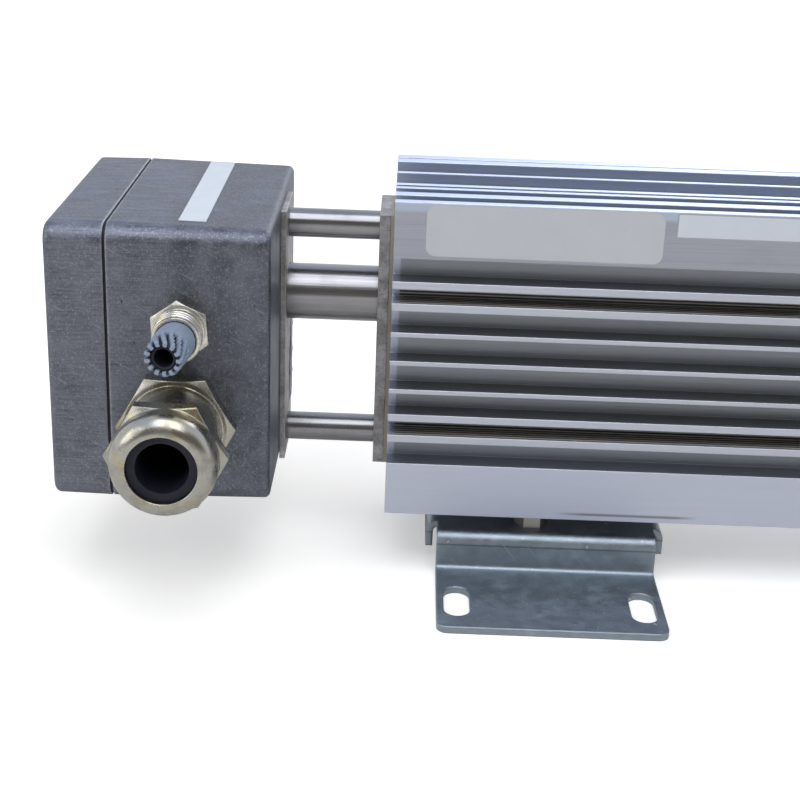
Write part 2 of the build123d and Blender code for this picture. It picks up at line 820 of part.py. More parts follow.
def nuts(z):
    """One nut on each bracket bolt, with its lower face at z."""
    with BuildPart() as group:
        with BuildSketch(Plane.XY.offset(z)):
            with Locations(*bolt_points):
                RegularPolygon(nut_hex / 2, 6, major_radius=False)
                Circle(bolt_diameter / 2 + sliding_clearance, mode=Mode.SUBTRACT)
        extrude(amount=nut_height)
    return group


with BuildPart() as bracket_bolts:
    with BuildSketch(Plane.XY.offset(z_head)):
        with Locations(*bolt_points):
            RegularPolygon(nut_hex / 2, 6, major_radius=False)
    extrude(amount=bolt_head_height)
    with BuildSketch(Plane.XY.offset(z_lock_nut - bolt_end)):
        with Locations(*bolt_points):
            Circle(bolt_diameter / 2)
    extrude(amount=z_head - z_lock_nut + bolt_end)
write(bracket_bolts, "bracket_bolts")

with BuildPart() as bracket_washers:
    with BuildSketch(Plane.XY.offset(bracket_height + nut_height)):
        with Locations(*bolt_points):
            Circle(washer_diameter / 2)
            Circle(bolt_diameter / 2 + screw_hole_clearance, mode=Mode.SUBTRACT)
    extrude(amount=washer_thickness)
write(bracket_washers, "bracket_washers")

write(nuts(bracket_height), "bracket_spacer_nuts")
write(nuts(z_lock_nut), "bracket_lock_nuts")

# Resistance element: a ceramic bar wound with ribbon, between insulating boards and end caps
x_cap = x_profile + cap_from_end
x_winding_room = x_cap + cap_thickness
x_far_cap = x_profile_end - cap_thickness
half_core = core_thickness / 2
half_ribbon_out = half_core + sliding_clearance + ribbon_thickness
half_core_height = core_height / 2
half_ribbon_height = half_core_height + sliding_clearance + ribbon_thickness
lead_level = chamber_half_height - lead_from_top
turns = int((x_far_cap - x_winding_room - 2 * winding_margin) / turn_pitch)
x_first_turn = (x_winding_room + x_far_cap - turns * turn_pitch) / 2

with BuildPart() as element_core:
    with BuildSketch(section_plane(x_winding_room - core_socket)):
        Rectangle(core_thickness, core_height)
    extrude(amount=x_far_cap - x_winding_room + 2 * core_socket)
write(element_core, "element_core")

with BuildPart() as element_end_caps:
    for x, socket in ((x_cap, x_winding_room - core_socket), (x_far_cap, x_far_cap)):
        with BuildSketch(section_plane(x)):
            Rectangle(chamber_depth - 2 * fill_clearance, chamber_height - 2 * fill_clearance)
        extrude(amount=cap_thickness)
        with BuildSketch(section_plane(socket)):
            Rectangle(core_thickness + 2 * fill_clearance, core_height + 2 * fill_clearance)
        extrude(amount=core_socket, mode=Mode.SUBTRACT)
    with BuildSketch(section_plane(x_cap)):
        with Locations((-lead_spacing / 2, lead_level), (lead_spacing / 2, lead_level)):
            Circle(power_wire_diameter / 2 + sliding_clearance)
    extrude(amount=cap_thickness, mode=Mode.SUBTRACT)
write(element_end_caps, "element_end_caps")

board_thickness = chamber_half_depth - half_ribbon_out - 2 * insulation_gap
with BuildPart() as insulating_boards:
    with BuildSketch(section_plane(x_winding_room)):
        for side in (-1, 1):
            inner = side * (half_ribbon_out + insulation_gap)
            bar(*sorted((inner, inner + side * board_thickness)),
                -chamber_half_height + insulation_gap, chamber_half_height - insulation_gap)
    extrude(amount=x_far_cap - x_winding_room)
write(insulating_boards, "insulating_boards")


def slanted_runs(side, x_start):
    """Runs of the ribbon up or down one broad face, each leaning half a pitch."""
    lean = -side * turn_pitch / 2
    face = y_middle + side * (half_core + sliding_clearance)
    plane = Plane(origin=(0, face, z_middle), x_dir=(1, 0, 0), z_dir=(0, -1, 0))
    with BuildSketch(plane) as runs:
        for turn in range(turns):
            low = x_start + turn * turn_pitch - lean / 2
            high = low + lean
            Polygon(
                (low - ribbon_width / 2, -half_ribbon_height),
                (low + ribbon_width / 2, -half_ribbon_height),
                (high + ribbon_width / 2, half_ribbon_height),
                (high - ribbon_width / 2, half_ribbon_height),
                align=None,
            )
    extrude(runs.sketch, amount=-side * ribbon_thickness)


with BuildPart() as resistance_winding:
    slanted_runs(-1, x_first_turn + turn_pitch / 4)
    slanted_runs(1, x_first_turn + turn_pitch * 3 / 4)
    ribbon_depth = 2 * half_ribbon_out
    for level, first, count in ((half_ribbon_height, x_first_turn + turn_pitch / 2, turns),
                                (-half_ribbon_height, x_first_turn, turns + 1)):
        base = min(level, level - ribbon_thickness if level > 0 else level)
        with BuildSketch(Plane(origin=(first, y_middle, z_middle + base))):
            for turn in range(count):
                with Locations((turn * turn_pitch, 0)):
                    Rectangle(ribbon_width, ribbon_depth)
        extrude(amount=ribbon_thickness)
    # Upright tabs on the first and last turns take the leads
    x_near_tab = x_first_turn + turn_pitch / 2 - ribbon_width / 2
    x_far_tab = x_first_turn + (turns - 1 / 2) * turn_pitch + ribbon_width / 2 - winding_tab
    for x, side in ((x_near_tab, -1), (x_far_tab, 1)):
        with BuildSketch(section_plane(x)):
            bar(side * lead_spacing / 2 - tab_width / 2, side * lead_spacing / 2 + tab_width / 2,
                half_ribbon_height - ribbon_thickness, lead_level + tab_width / 2)
        extrude(amount=winding_tab)
write(resistance_winding, "resistance_winding")

# Temperature switch in the near end of the chamber
switch_level = -switch_below_middle
switch_top = switch_level + switch_height / 2
with BuildPart() as temperature_switch:
    with BuildSketch(section_plane(x_profile + switch_from_end)):
        with Locations((0, switch_level)):
            RectangleRounded(switch_width, switch_height, switch_corner)
    extrude(amount=switch_length)
write(temperature_switch, "temperature_switch")

# Terminal strip on the floor of the box, behind the conduit
terminal_half_height = terminal_poles * terminal_pitch / 2
z_terminals = [
    box_shift_z + (number - (terminal_poles - 1) / 2) * terminal_pitch
    for number in range(terminal_poles)
]
x_entry = x_floor - terminal_base_height / 2
screw_levels = [(y_terminals + terminal_depth / 2, z) for z in z_terminals]

with BuildPart() as terminal_strip:
    with BuildSketch(section_plane(x_floor)):
        bar(y_terminals, y_terminals + terminal_depth, box_shift_z - terminal_half_height,
            box_shift_z + terminal_half_height)
    extrude(amount=-terminal_base_height)
    with BuildSketch(section_plane(x_floor - terminal_base_height)):
        with Locations(*screw_levels):
            Rectangle(terminal_crown_depth, terminal_pitch - 2 * terminal_wall)
    extrude(amount=-terminal_wall)
    with BuildSketch(section_plane(x_floor - terminal_base_height - terminal_wall)):
        with Locations(*screw_levels):
            Circle(terminal_screw_diameter / 2 + sliding_clearance)
    extrude(amount=terminal_screw_length, mode=Mode.SUBTRACT)
    with BuildSketch(Plane(origin=(x_entry, y_middle + y_terminals, z_middle), x_dir=(1, 0, 0),
                           z_dir=(0, -1, 0))):
        with Locations(*[(0, z) for z in z_terminals]):
            Circle(power_wire_diameter / 2 + wire_seat)
    extrude(amount=-funnel_depth, mode=Mode.SUBTRACT)
write(terminal_strip, "terminal_strip")

with BuildPart() as terminal_screws:
    x_screw_head = x_floor - terminal_base_height - terminal_wall
    with BuildSketch(section_plane(x_screw_head + screw_slot_depth)):
        with Locations(*screw_levels):
            Circle(terminal_screw_diameter / 2)
    extrude(amount=terminal_screw_length - screw_slot_depth)
    with BuildSketch(section_plane(x_screw_head + screw_slot_depth)):
        with Locations(*screw_levels):
            Rectangle(terminal_screw_diameter, screw_slot_width)
    extrude(amount=screw_slot_depth, mode=Mode.SUBTRACT)
write(terminal_screws, "terminal_screws")

# Earth screw in the lower rear of the box floor
with BuildPart() as earth_screw:
    with BuildSketch(section_plane(x_floor)):
        with Locations(earth_point):
            Circle(earth_head_diameter / 2)
    extrude(amount=-earth_head_height)
    with BuildSketch(section_plane(x_floor - earth_head_height)):
        with Locations(earth_point):
            Rectangle(earth_head_diameter, screw_slot_width)
    extrude(amount=screw_slot_depth, mode=Mode.SUBTRACT)
    with BuildSketch(section_plane(x_floor)):
        with Locations(earth_point):
            Circle(earth_screw_diameter / 2)
    extrude(amount=earth_screw_length)
write(earth_screw, "earth_screw")


# Wires: straight runs joined by arcs, from the terminals through the conduit
def wire(points, diameter):
    """Round wire along a route given as points of X, and of Y and Z from the middle lines."""
    route = [(x, y_middle + y, z_middle + z) for x, y, z in points]
    with BuildPart() as run:
        with BuildLine() as path:
            FilletPolyline(*route, radius=wire_bend_radius)
        with BuildSketch(Plane(origin=path.line @ 0, z_dir=path.line % 0)):
            Circle(diameter / 2)
        sweep()
    return run


def route_in_box(side, level, pole):
    """Points from a terminal's funnel to the place in the conduit that the wire takes."""
    return [
        (x_entry, y_terminals + funnel_depth - wire_seat, z_terminals[pole]),
        (x_entry, y_terminals - terminal_from_conduit / 2, z_terminals[pole]),
        (x_entry, side * wire_spacing / 2, level),
    ]


def power_route(side, pole, x_end):
    """Route of a power wire, which rises in the chamber to run above the winding."""
    level = conduit_above_middle + power_wire_rise
    return route_in_box(side, level, pole) + [
        (x_profile + cap_from_end / 4, side * wire_spacing / 2, level),
        (x_cap - cap_from_end / 4, side * lead_spacing / 2, lead_level),
        (x_end, side * lead_spacing / 2, lead_level),
    ]


def sensor_route(side, pole):
    """Route of a sensor wire, which drops in the chamber onto the temperature switch."""
    level = conduit_above_middle - sensor_wire_drop
    x_drop = x_profile + switch_from_end + switch_length / 2
    return route_in_box(side, level, pole) + [
        (x_drop, side * wire_spacing / 2, level),
        (x_drop, side * wire_spacing / 2, switch_top),
    ]


write(wire(power_route(-1, 3, x_near_tab), power_wire_diameter), "first_power_wire")
write(wire(power_route(1, 2, x_far_tab), power_wire_diameter), "second_power_wire")
write(wire(sensor_route(-1, 0), sensor_wire_diameter), "first_sensor_wire")
write(wire(sensor_route(1, 1), sensor_wire_diameter), "second_sensor_wire")


# Labels: thin plain sheets on the front of the profile and on top of the box
def front_label(x, z, length, height, corner):
    """Label on the front of the upper strip, from its lower left corner."""
    with BuildPart() as label:
        with BuildSketch(Plane(origin=(x, y_middle - half_depth, z), x_dir=(1, 0, 0),
                               z_dir=(0, -1, 0))):
            with Locations((length / 2, height / 2)):
                RectangleRounded(length, height, corner)
        extrude(amount=label_thickness)
    return label


z_strip = z_profile + profile_height - strip_height
x_rating_label = x_profile + rating_label_from_end
write(front_label(x_rating_label, z_strip + rating_label_above_strip, rating_label_length,
                  rating_label_height, label_corner), "rating_label")
write(front_label(x_rating_label + rating_label_length + second_label_gap,
                  z_profile + profile_height - second_label_from_top - second_label_height,
                  second_label_length, second_label_height, small_label_corner), "second_label")

with BuildPart() as box_label:
    label_middle = box_label_from_seam + box_label_width / 2
    label_drop = box_face_drop(label_middle - seal_thickness)
    with BuildSketch(Plane(
        origin=(x_seam + label_middle, y_box + box_label_shift, z_box + box_height / 2 - label_drop),
        x_dir=(cos(draft), 0, -sin(draft)),
        z_dir=(sin(draft), 0, cos(draft)),
    )):
        Rectangle(box_label_width, box_label_length)
    extrude(amount=label_thickness)
write(box_label, "box_label")
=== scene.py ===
"""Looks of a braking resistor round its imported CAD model, laid out as an add-on and run as a script.

Sizes are in metres in the row's frame: X along the finned profile with the terminal box at the
low end, the cable glands on the -Y side, and Z up from the mounting surface.
"""

import math

import bmesh
import bpy
import numpy as np
from mathutils import Euler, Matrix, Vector


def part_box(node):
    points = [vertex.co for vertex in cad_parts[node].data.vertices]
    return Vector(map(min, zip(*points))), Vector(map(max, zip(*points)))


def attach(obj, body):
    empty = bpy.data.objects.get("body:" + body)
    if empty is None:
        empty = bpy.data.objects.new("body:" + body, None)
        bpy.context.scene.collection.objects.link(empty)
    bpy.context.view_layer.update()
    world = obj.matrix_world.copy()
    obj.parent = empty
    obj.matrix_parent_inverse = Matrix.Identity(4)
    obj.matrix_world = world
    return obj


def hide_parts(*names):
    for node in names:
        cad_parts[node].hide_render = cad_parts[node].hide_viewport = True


bl_info = {
    "name": "Braking resistor looks",
    "version": (1, 0, 0),
    "blender": (4, 5, 0),
    "location": "View3D > Sidebar > Resistor",
    "description": "Finishes, gland details, sealant and studio for a braking resistor",
    "category": "Object",
}

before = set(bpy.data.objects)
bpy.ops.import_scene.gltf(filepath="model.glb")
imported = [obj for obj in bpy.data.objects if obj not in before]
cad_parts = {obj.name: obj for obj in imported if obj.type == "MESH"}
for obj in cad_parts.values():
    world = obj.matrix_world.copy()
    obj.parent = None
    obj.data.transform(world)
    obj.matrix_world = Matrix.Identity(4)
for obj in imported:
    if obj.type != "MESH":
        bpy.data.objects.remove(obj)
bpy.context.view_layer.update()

# Places on the CAD model, in millimetres
SEAM_X = 500.0 * (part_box("terminal_box_lid")[1][0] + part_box("terminal_box_base")[0][0])
PROFILE_FOOT = 1000.0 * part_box("heat_sink_profile")[0][2]
FLANGE_FACE = 1000.0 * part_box("box_flange_plate")[1][0]

# Screw channels of the profile: height off its middle, and pitch of the ridges, in millimetres
CHANNEL_LEVEL = 18.65
RIDGE_PITCH = 0.87

# Small gland: middle of its collar's mouth, the way its axis points, its radius and its fingers
COLLAR_MOUTH = np.array((-165.30, -47.97, 75.3))
GLAND_AXIS = np.array((0.017452, -0.999848, 0.0))
COLLAR_RADIUS = 6.0
FINGERS = 13


# Settings that a user would change


class ResistorFinish(bpy.types.PropertyGroup):
    """Colours of the resistor's finishes."""

    profile_colour: bpy.props.FloatVectorProperty(
        name="Extruded aluminium", description="Base colour of the finned profile",
        subtype="COLOR", size=3, default=(0.40, 0.42, 0.48))
    casting_colour: bpy.props.FloatVectorProperty(
        name="Cast aluminium", description="Base colour of the terminal box and its lid",
        subtype="COLOR", size=3, default=(0.145, 0.155, 0.185))
    tube_colour: bpy.props.FloatVectorProperty(
        name="Stainless tube", description="Base colour of the spacer tubes and the conduit",
        subtype="COLOR", size=3, default=(0.31, 0.305, 0.315))
    gland_colour: bpy.props.FloatVectorProperty(
        name="Nickel-plated brass", description="Base colour of the cable glands",
        subtype="COLOR", size=3, default=(0.42, 0.41, 0.37))
    zinc_colour: bpy.props.FloatVectorProperty(
        name="Galvanised sheet", description="Base colour of the mounting brackets",
        subtype="COLOR", size=3, default=(0.30, 0.345, 0.385))
    claw_colour: bpy.props.FloatVectorProperty(
        name="Clamp plastic", description="Colour of the clamp inside the small gland",
        subtype="COLOR", size=3, default=(0.25, 0.31, 0.43))


class ResistorDetail(bpy.types.PropertyGroup):
    """Sizes of the small forms that only the scene has."""

    thread_pitch: bpy.props.FloatProperty(
        name="Thread pitch", description="Pitch of the thread on the small gland's collar",
        unit="LENGTH", default=0.0015, min=0.0005)
    thread_height: bpy.props.FloatProperty(
        name="Thread height", description="Height of the thread's crest over the collar",
        unit="LENGTH", default=0.0003, min=0.0001)
    claw_side: bpy.props.FloatProperty(
        name="Clamp leans sideways", description="How far the small gland's clamp leans to -X",
        unit="ROTATION", default=math.radians(7.0), min=0.0, max=0.3)
    claw_down: bpy.props.FloatProperty(
        name="Clamp leans down", description="How far the small gland's clamp leans down",
        unit="ROTATION", default=math.radians(3.5), min=0.0, max=0.3)
    claw_reach: bpy.props.FloatProperty(
        name="Clamp reach", description="How far the clamp stands out of the collar's mouth",
        unit="LENGTH", default=0.0116, min=0.006, max=0.015)
    sealant_length: bpy.props.FloatProperty(
        name="Sealant length", description="How far the film of sealant runs down the plate",
        unit="LENGTH", default=0.026, min=0.005)


class ResistorStage(bpy.types.PropertyGroup):
    """Camera and lights of the studio."""

    camera_place: bpy.props.FloatVectorProperty(
        name="Camera place", description="Where the camera stands, in the row's frame",
        subtype="TRANSLATION", size=3, default=(-0.109343, -0.410373, 0.204552))
    camera_turn: bpy.props.FloatVectorProperty(
        name="Camera turn", description="Turn of the camera about X, Y and Z",
        subtype="EULER", size=3,
        default=(math.radians(68.5132), math.radians(-2.0192), math.radians(0.7933)))
    camera_lens: bpy.props.FloatProperty(
        name="Focal length", description="Focal length on a 36 mm wide sensor, in millimetres",
        default=70.11, min=10.0, max=300.0)
    key_power: bpy.props.FloatProperty(
        name="Overhead light", description="Power of the soft light above and in front",
        unit="POWER", default=9.0, min=0.0)
    side_power: bpy.props.FloatProperty(
        name="Side light", description="Power of the soft light at the left",
        unit="POWER", default=4.0, min=0.0)
    back_power: bpy.props.FloatProperty(
        name="Back light", description="Power of the soft light behind and above",
        unit="POWER", default=5.0, min=0.0)
    room_level: bpy.props.FloatProperty(
        name="Room light", description="Level of the even light from all round",
        default=0.45, min=0.0, max=2.0)
    floor_size: bpy.props.FloatProperty(
        name="Floor size", description="Width of the floor",
        unit="LENGTH", default=6.0, min=1.0)


# Small tools for shader trees


class Tree:
    """Adds nodes to one shader tree and links or sets their inputs by name."""

    def __init__(self, tree):
        self.tree = tree

    def add(self, kind, inputs=None, **settings):
        node = self.tree.nodes.new(kind)
        for name, value in settings.items():
            setattr(node, name, value)
        for name, value in (inputs or {}).items():
            self.feed(node.inputs[name], value)
        return node

    def feed(self, socket, value):
        if isinstance(value, bpy.types.NodeSocket):
            self.tree.links.new(value, socket)
        else:
            socket.default_value = value

    def math(self, operation, first, second=0.0, clamp=False):
        node = self.add("ShaderNodeMath", {0: first, 1: second}, operation=operation,
                        use_clamp=clamp)
        return node.outputs[0]

    def vector(self, operation, first, second):
        node = self.add("ShaderNodeVectorMath", {0: first}, operation=operation)
        self.feed(node.inputs["Scale" if operation == "SCALE" else 1], second)
        return node.outputs["Value" if operation in ("DOT_PRODUCT", "LENGTH") else "Vector"]

    def spread(self, value, low, high, to_low=0.0, to_high=1.0):
        """Value carried from one range to another, held at the ends."""
        node = self.add("ShaderNodeMapRange", {
            "Value": value, "From Min": low, "From Max": high,
            "To Min": to_low, "To Max": to_high})
        return node.outputs["Result"]

    def mix(self, share, first, second):
        """Colour between two colours."""
        node = self.add("ShaderNodeMix", data_type="RGBA")
        for socket, value in ((node.inputs[0], share), (node.inputs[6], first),
                              (node.inputs[7], second)):
            self.feed(socket, value)
        return node.outputs[2]

    def noise(self, vector, scale=1.0, detail=3.0, roughness=0.55):
        node = self.add("ShaderNodeTexNoise", {
            "Vector": vector, "Scale": scale, "Detail": detail, "Roughness": roughness})
        return node.outputs["Fac"]

    def use(self, group, inputs):
        """One of the shared effects, with its own values."""
        node = self.add("ShaderNodeGroup", node_tree=bpy.data.node_groups[group])
        for name, value in inputs.items():
            self.feed(node.inputs[name], value)
        return node.outputs


def rgba(colour):
    return (*colour, 1.0)


def open_group(name, inputs, outputs):
    """New shader node group with named sockets, and its input and output nodes."""
    group = bpy.data.node_groups.new(name, "ShaderNodeTree")
    for label, kind, value in inputs:
        socket = group.interface.new_socket(label, in_out="INPUT", socket_type=kind)
        if value is not None:
            socket.default_value = value
    for label, kind in outputs:
        group.interface.new_socket(label, in_out="OUTPUT", socket_type=kind)
    tree = Tree(group)
    return tree, tree.add("NodeGroupInput").outputs, tree.add("NodeGroupOutput").inputs


FLOAT, VECTOR = "NodeSocketFloat", "NodeSocketVector"


def build_fine_lines():
    """Drawn, brushed or sawn lines: noise stretched along one direction."""
    tree, given, result = open_group(
        "fine lines",
        [("Vector", VECTOR, None), ("Stretch", VECTOR, (1.0, 1.0, 1.0)), ("Detail", FLOAT, 3.0)],
        [("Value", FLOAT)])
    stretched = tree.vector("MULTIPLY", given["Vector"], given["Stretch"])
    noise = tree.noise(stretched, detail=given["Detail"])
    tree.feed(result["Value"], tree.spread(noise, 0.28, 0.72))


def build_flecks():
    """Scattered specks: cells of which a share hold a ragged dot."""
    tree, given, result = open_group(
        "flecks",
        [("Vector", VECTOR, None), ("Size", FLOAT, 1.0), ("Share", FLOAT, 0.3),
         ("Radius", FLOAT, 0.35)],
        [("Mask", FLOAT)])
    scaled = tree.vector("SCALE", given["Vector"], tree.math("DIVIDE", 1.0, given["Size"]))
    ragged = tree.add("ShaderNodeTexNoise", {"Vector": scaled, "Scale": 2.6, "Detail": 2.0})
    shift = tree.vector("SCALE", ragged.outputs["Color"], 0.55)
    cells = tree.add("ShaderNodeTexVoronoi", {"Vector": tree.vector("ADD", scaled, shift),
                                              "Scale": 1.0})
    split = tree.add("ShaderNodeSeparateColor", {"Color": cells.outputs["Color"]})
    near = tree.spread(cells.outputs["Distance"], given["Radius"],
                       tree.math("MULTIPLY", given["Radius"], 0.45))
    kept = tree.math("LESS_THAN", split.outputs[0], given["Share"])
    tree.feed(result["Mask"], tree.math("MULTIPLY", near, kept))


def build_patches():
    """Soft-edged areas of another shade."""
    tree, given, result = open_group(
        "patches",
        [("Vector", VECTOR, None), ("Size", FLOAT, 10.0), ("Low", FLOAT, 0.45),
         ("High", FLOAT, 0.65), ("Detail", FLOAT, 4.0)],
        [("Mask", FLOAT)])
    scaled = tree.vector("SCALE", given["Vector"], tree.math("DIVIDE", 1.0, given["Size"]))
    noise = tree.noise(scaled, detail=given["Detail"], roughness=0.6)
    node = tree.add("ShaderNodeMapRange", {"Value": noise, "From Min": given["Low"],
                                           "From Max": given["High"]},
                    interpolation_type="SMOOTHSTEP")
    tree.feed(result["Mask"], node.outputs["Result"])


def build_rubbed_and_highlit_edges():
    """Edges partly rubbed and partly lightened by a painted highlight: where the normal of a rounded
    edge leaves the face's own normal.
    """
    tree, given, result = open_group(
        "rubbed and highlit edges",
        [("Radius", FLOAT, 0.0005), ("Strength", FLOAT, 3.0), ("Vector", VECTOR, None)],
        [("Mask", FLOAT), ("Normal", VECTOR)])
    rounded = tree.add("ShaderNodeBevel", {"Radius": given["Radius"]}, samples=6)
    face = tree.add("ShaderNodeNewGeometry")
    along = tree.vector("DOT_PRODUCT", rounded.outputs["Normal"], face.outputs["Normal"])
    off = tree.math("MULTIPLY", tree.math("SUBTRACT", 1.0, along), given["Strength"])
    broken = tree.spread(tree.noise(given["Vector"], scale=0.9), 0.3, 0.6, 0.35, 1.0)
    tree.feed(result["Mask"], tree.math("MULTIPLY", off, broken, clamp=True))
    tree.feed(result["Normal"], rounded.outputs["Normal"])


def build_scratches():
    """Thin broken scratches: narrow bands of one noise, cut short by another."""
    tree, given, result = open_group(
        "scratches",
        [("Vector", VECTOR, None), ("Stretch", VECTOR, (0.05, 1.0, 1.0)), ("Width", FLOAT, 0.012),
         ("Share", FLOAT, 0.5)],
        [("Mask", FLOAT)])
    stretched = tree.vector("MULTIPLY", given["Vector"], given["Stretch"])
    band = tree.math("ABSOLUTE", tree.math("SUBTRACT", tree.noise(stretched, detail=1.0), 0.5))
    thin = tree.spread(band, given["Width"], 0.0)
    kept = tree.spread(tree.noise(given["Vector"], scale=0.13, detail=2.0),
                       given["Share"], tree.math("ADD", given["Share"], 0.06))
    tree.feed(result["Mask"], tree.math("MULTIPLY", thin, kept))


def build_curls():
    """Short curly strokes: narrow bands of a fine noise, cut into pieces by another."""
    tree, given, result = open_group(
        "curls",
        [("Vector", VECTOR, None), ("Size", FLOAT, 0.8), ("Width", FLOAT, 0.035),
         ("Share", FLOAT, 0.5)],
        [("Mask", FLOAT)])
    scaled = tree.vector("SCALE", given["Vector"], tree.math("DIVIDE", 1.0, given["Size"]))
    band = tree.math("ABSOLUTE", tree.math("SUBTRACT", tree.noise(scaled, 0.9, detail=1.0), 0.5))
    kept = tree.spread(tree.noise(tree.vector("ADD", scaled, (17.0, 5.0, 9.0)), 0.7, detail=1.0),
                       given["Share"], tree.math("ADD", given["Share"], 0.07))
    tree.feed(result["Mask"], tree.math("MULTIPLY", tree.spread(band, given["Width"], 0.0), kept))


def build_straight_scratches():
    """Few straight scratches along one turned direction: noise drawn out into long thin strokes and
    cut at a threshold.
    """
    tree, given, result = open_group(
        "straight scratches",
        [("Vector", VECTOR, None), ("Turn", VECTOR, (0.0, 0.0, 0.0)),
         ("Stroke", VECTOR, (26.0, 0.5, 0.5)), ("Threshold", FLOAT, 0.66)],
        [("Mask", FLOAT)])
    turned = tree.add("ShaderNodeMapping", {"Vector": given["Vector"], "Rotation": given["Turn"],
                                            "Scale": given["Stroke"]}, vector_type="TEXTURE")
    noise = tree.noise(turned.outputs["Vector"], detail=0.0)
    tree.feed(result["Mask"], tree.spread(noise, given["Threshold"],
                                          tree.math("ADD", given["Threshold"], 0.05)))


def build_turned_marks():
    """Fine rings of a lathe about an axis along Y through a centre."""
    tree, given, result = open_group(
        "turned marks",
        [("Vector", VECTOR, None), ("Centre", VECTOR, (0.0, 0.0, 0.0)), ("Fineness", FLOAT, 6.0)],
        [("Value", FLOAT)])
    away = tree.add("ShaderNodeSeparateXYZ",
                    {"Vector": tree.vector("SUBTRACT", given["Vector"], given["Centre"])})
    radius = tree.math("SQRT", tree.math(
        "ADD", tree.math("MULTIPLY", away.outputs["X"], away.outputs["X"]),
        tree.math("MULTIPLY", away.outputs["Z"], away.outputs["Z"])))
    place = tree.add("ShaderNodeCombineXYZ", {
        "X": tree.math("MULTIPLY", radius, given["Fineness"]),
        "Y": tree.math("MULTIPLY", away.outputs["Y"], given["Fineness"])})
    tree.feed(result["Value"], tree.spread(tree.noise(place.outputs["Vector"]), 0.3, 0.7))


def new_material(name, roughness, metallic, **sockets):
    """Material with one Principled shader, and its tree, shader and millimetre coordinates."""
    material = bpy.data.materials.new(name)
    material.use_nodes = True
    tree = Tree(material.node_tree)
    shader = material.node_tree.nodes["Principled BSDF"]
    shader.inputs["Roughness"].default_value = roughness
    shader.inputs["Metallic"].default_value = metallic
    for label, value in sockets.items():
        shader.inputs[label.replace("_", " ").title().replace("Ior", "IOR")].default_value = value
    place = tree.add("ShaderNodeTexCoord").outputs["Object"]
    return material, tree, shader, tree.vector("SCALE", place, 1000.0)


def set_bump(tree, shader, height, strength, distance, normal=None):
    """Bump from a height of 0 to 1 that stands for a distance in metres."""
    bump = tree.add("ShaderNodeBump", {"Height": height, "Strength": strength,
                                       "Distance": distance})
    if normal is not None:
        tree.feed(bump.inputs["Normal"], normal)
    tree.feed(shader.inputs["Normal"], bump.outputs["Normal"])


def profile_zones(tree, place, low, high):
    """Masks of the profile's parts, from the depth under its faces and the level off its middle. Most
    of them place painted light or painted shade.
    """
    middle_y, middle_z = (low[1] + high[1]) / 2, (low[2] + high[2]) / 2
    half_depth = (high[1] - low[1]) / 2
    axes = tree.add("ShaderNodeSeparateXYZ", {"Vector": place}).outputs
    aside = tree.math("ABSOLUTE", tree.math("SUBTRACT", axes["Y"], middle_y))
    depth = tree.math("SUBTRACT", half_depth, aside)
    level = tree.math("ABSOLUTE", tree.math("SUBTRACT", axes["Z"], middle_z))
    finned = tree.spread(level, 28.9, 28.8)
    off_channel = tree.math("ABSOLUTE", tree.math("SUBTRACT", level, CHANNEL_LEVEL))
    channel = tree.math("MULTIPLY", tree.spread(off_channel, 2.2, 2.0),
                        tree.spread(depth, 0.6, 0.9))
    ridges = tree.math("SINE", tree.math("MULTIPLY", off_channel, 2 * math.pi / RIDGE_PITCH))
    return {
        "groove": tree.math("MULTIPLY", finned, tree.spread(depth, 0.4, 1.1)),
        "deep": tree.math("MULTIPLY", finned, tree.spread(depth, 2.5, 6.8)),
        "tips": tree.math("MULTIPLY", finned, tree.spread(depth, 0.6, 0.3)),
        "channel": channel,
        "ridges": tree.math("MULTIPLY", channel, tree.spread(ridges, 0.0, 0.7)),
        "foot": tree.spread(axes["Z"], low[2] + 15.2, low[2] + 14.8),
        "painted_top_edge_glint": tree.spread(axes["Z"], high[2] - 0.4, high[2] - 0.3),
        "top": tree.spread(axes["Z"], high[2] - 3.0, high[2] - 2.0),
        "end": tree.spread(axes["X"], low[0] + 2.2, low[0] + 1.8),
        "smear": tree.math("MULTIPLY",
                           tree.math("MULTIPLY", tree.spread(axes["Z"], low[2] + 1.2, low[2] + 1.5),
                                     tree.spread(axes["Z"], low[2] + 2.3, low[2] + 1.9)),
                           tree.math("MULTIPLY", tree.spread(axes["X"], -66.0, -58.0),
                                     tree.spread(axes["X"], -26.0, -32.0))),
    }


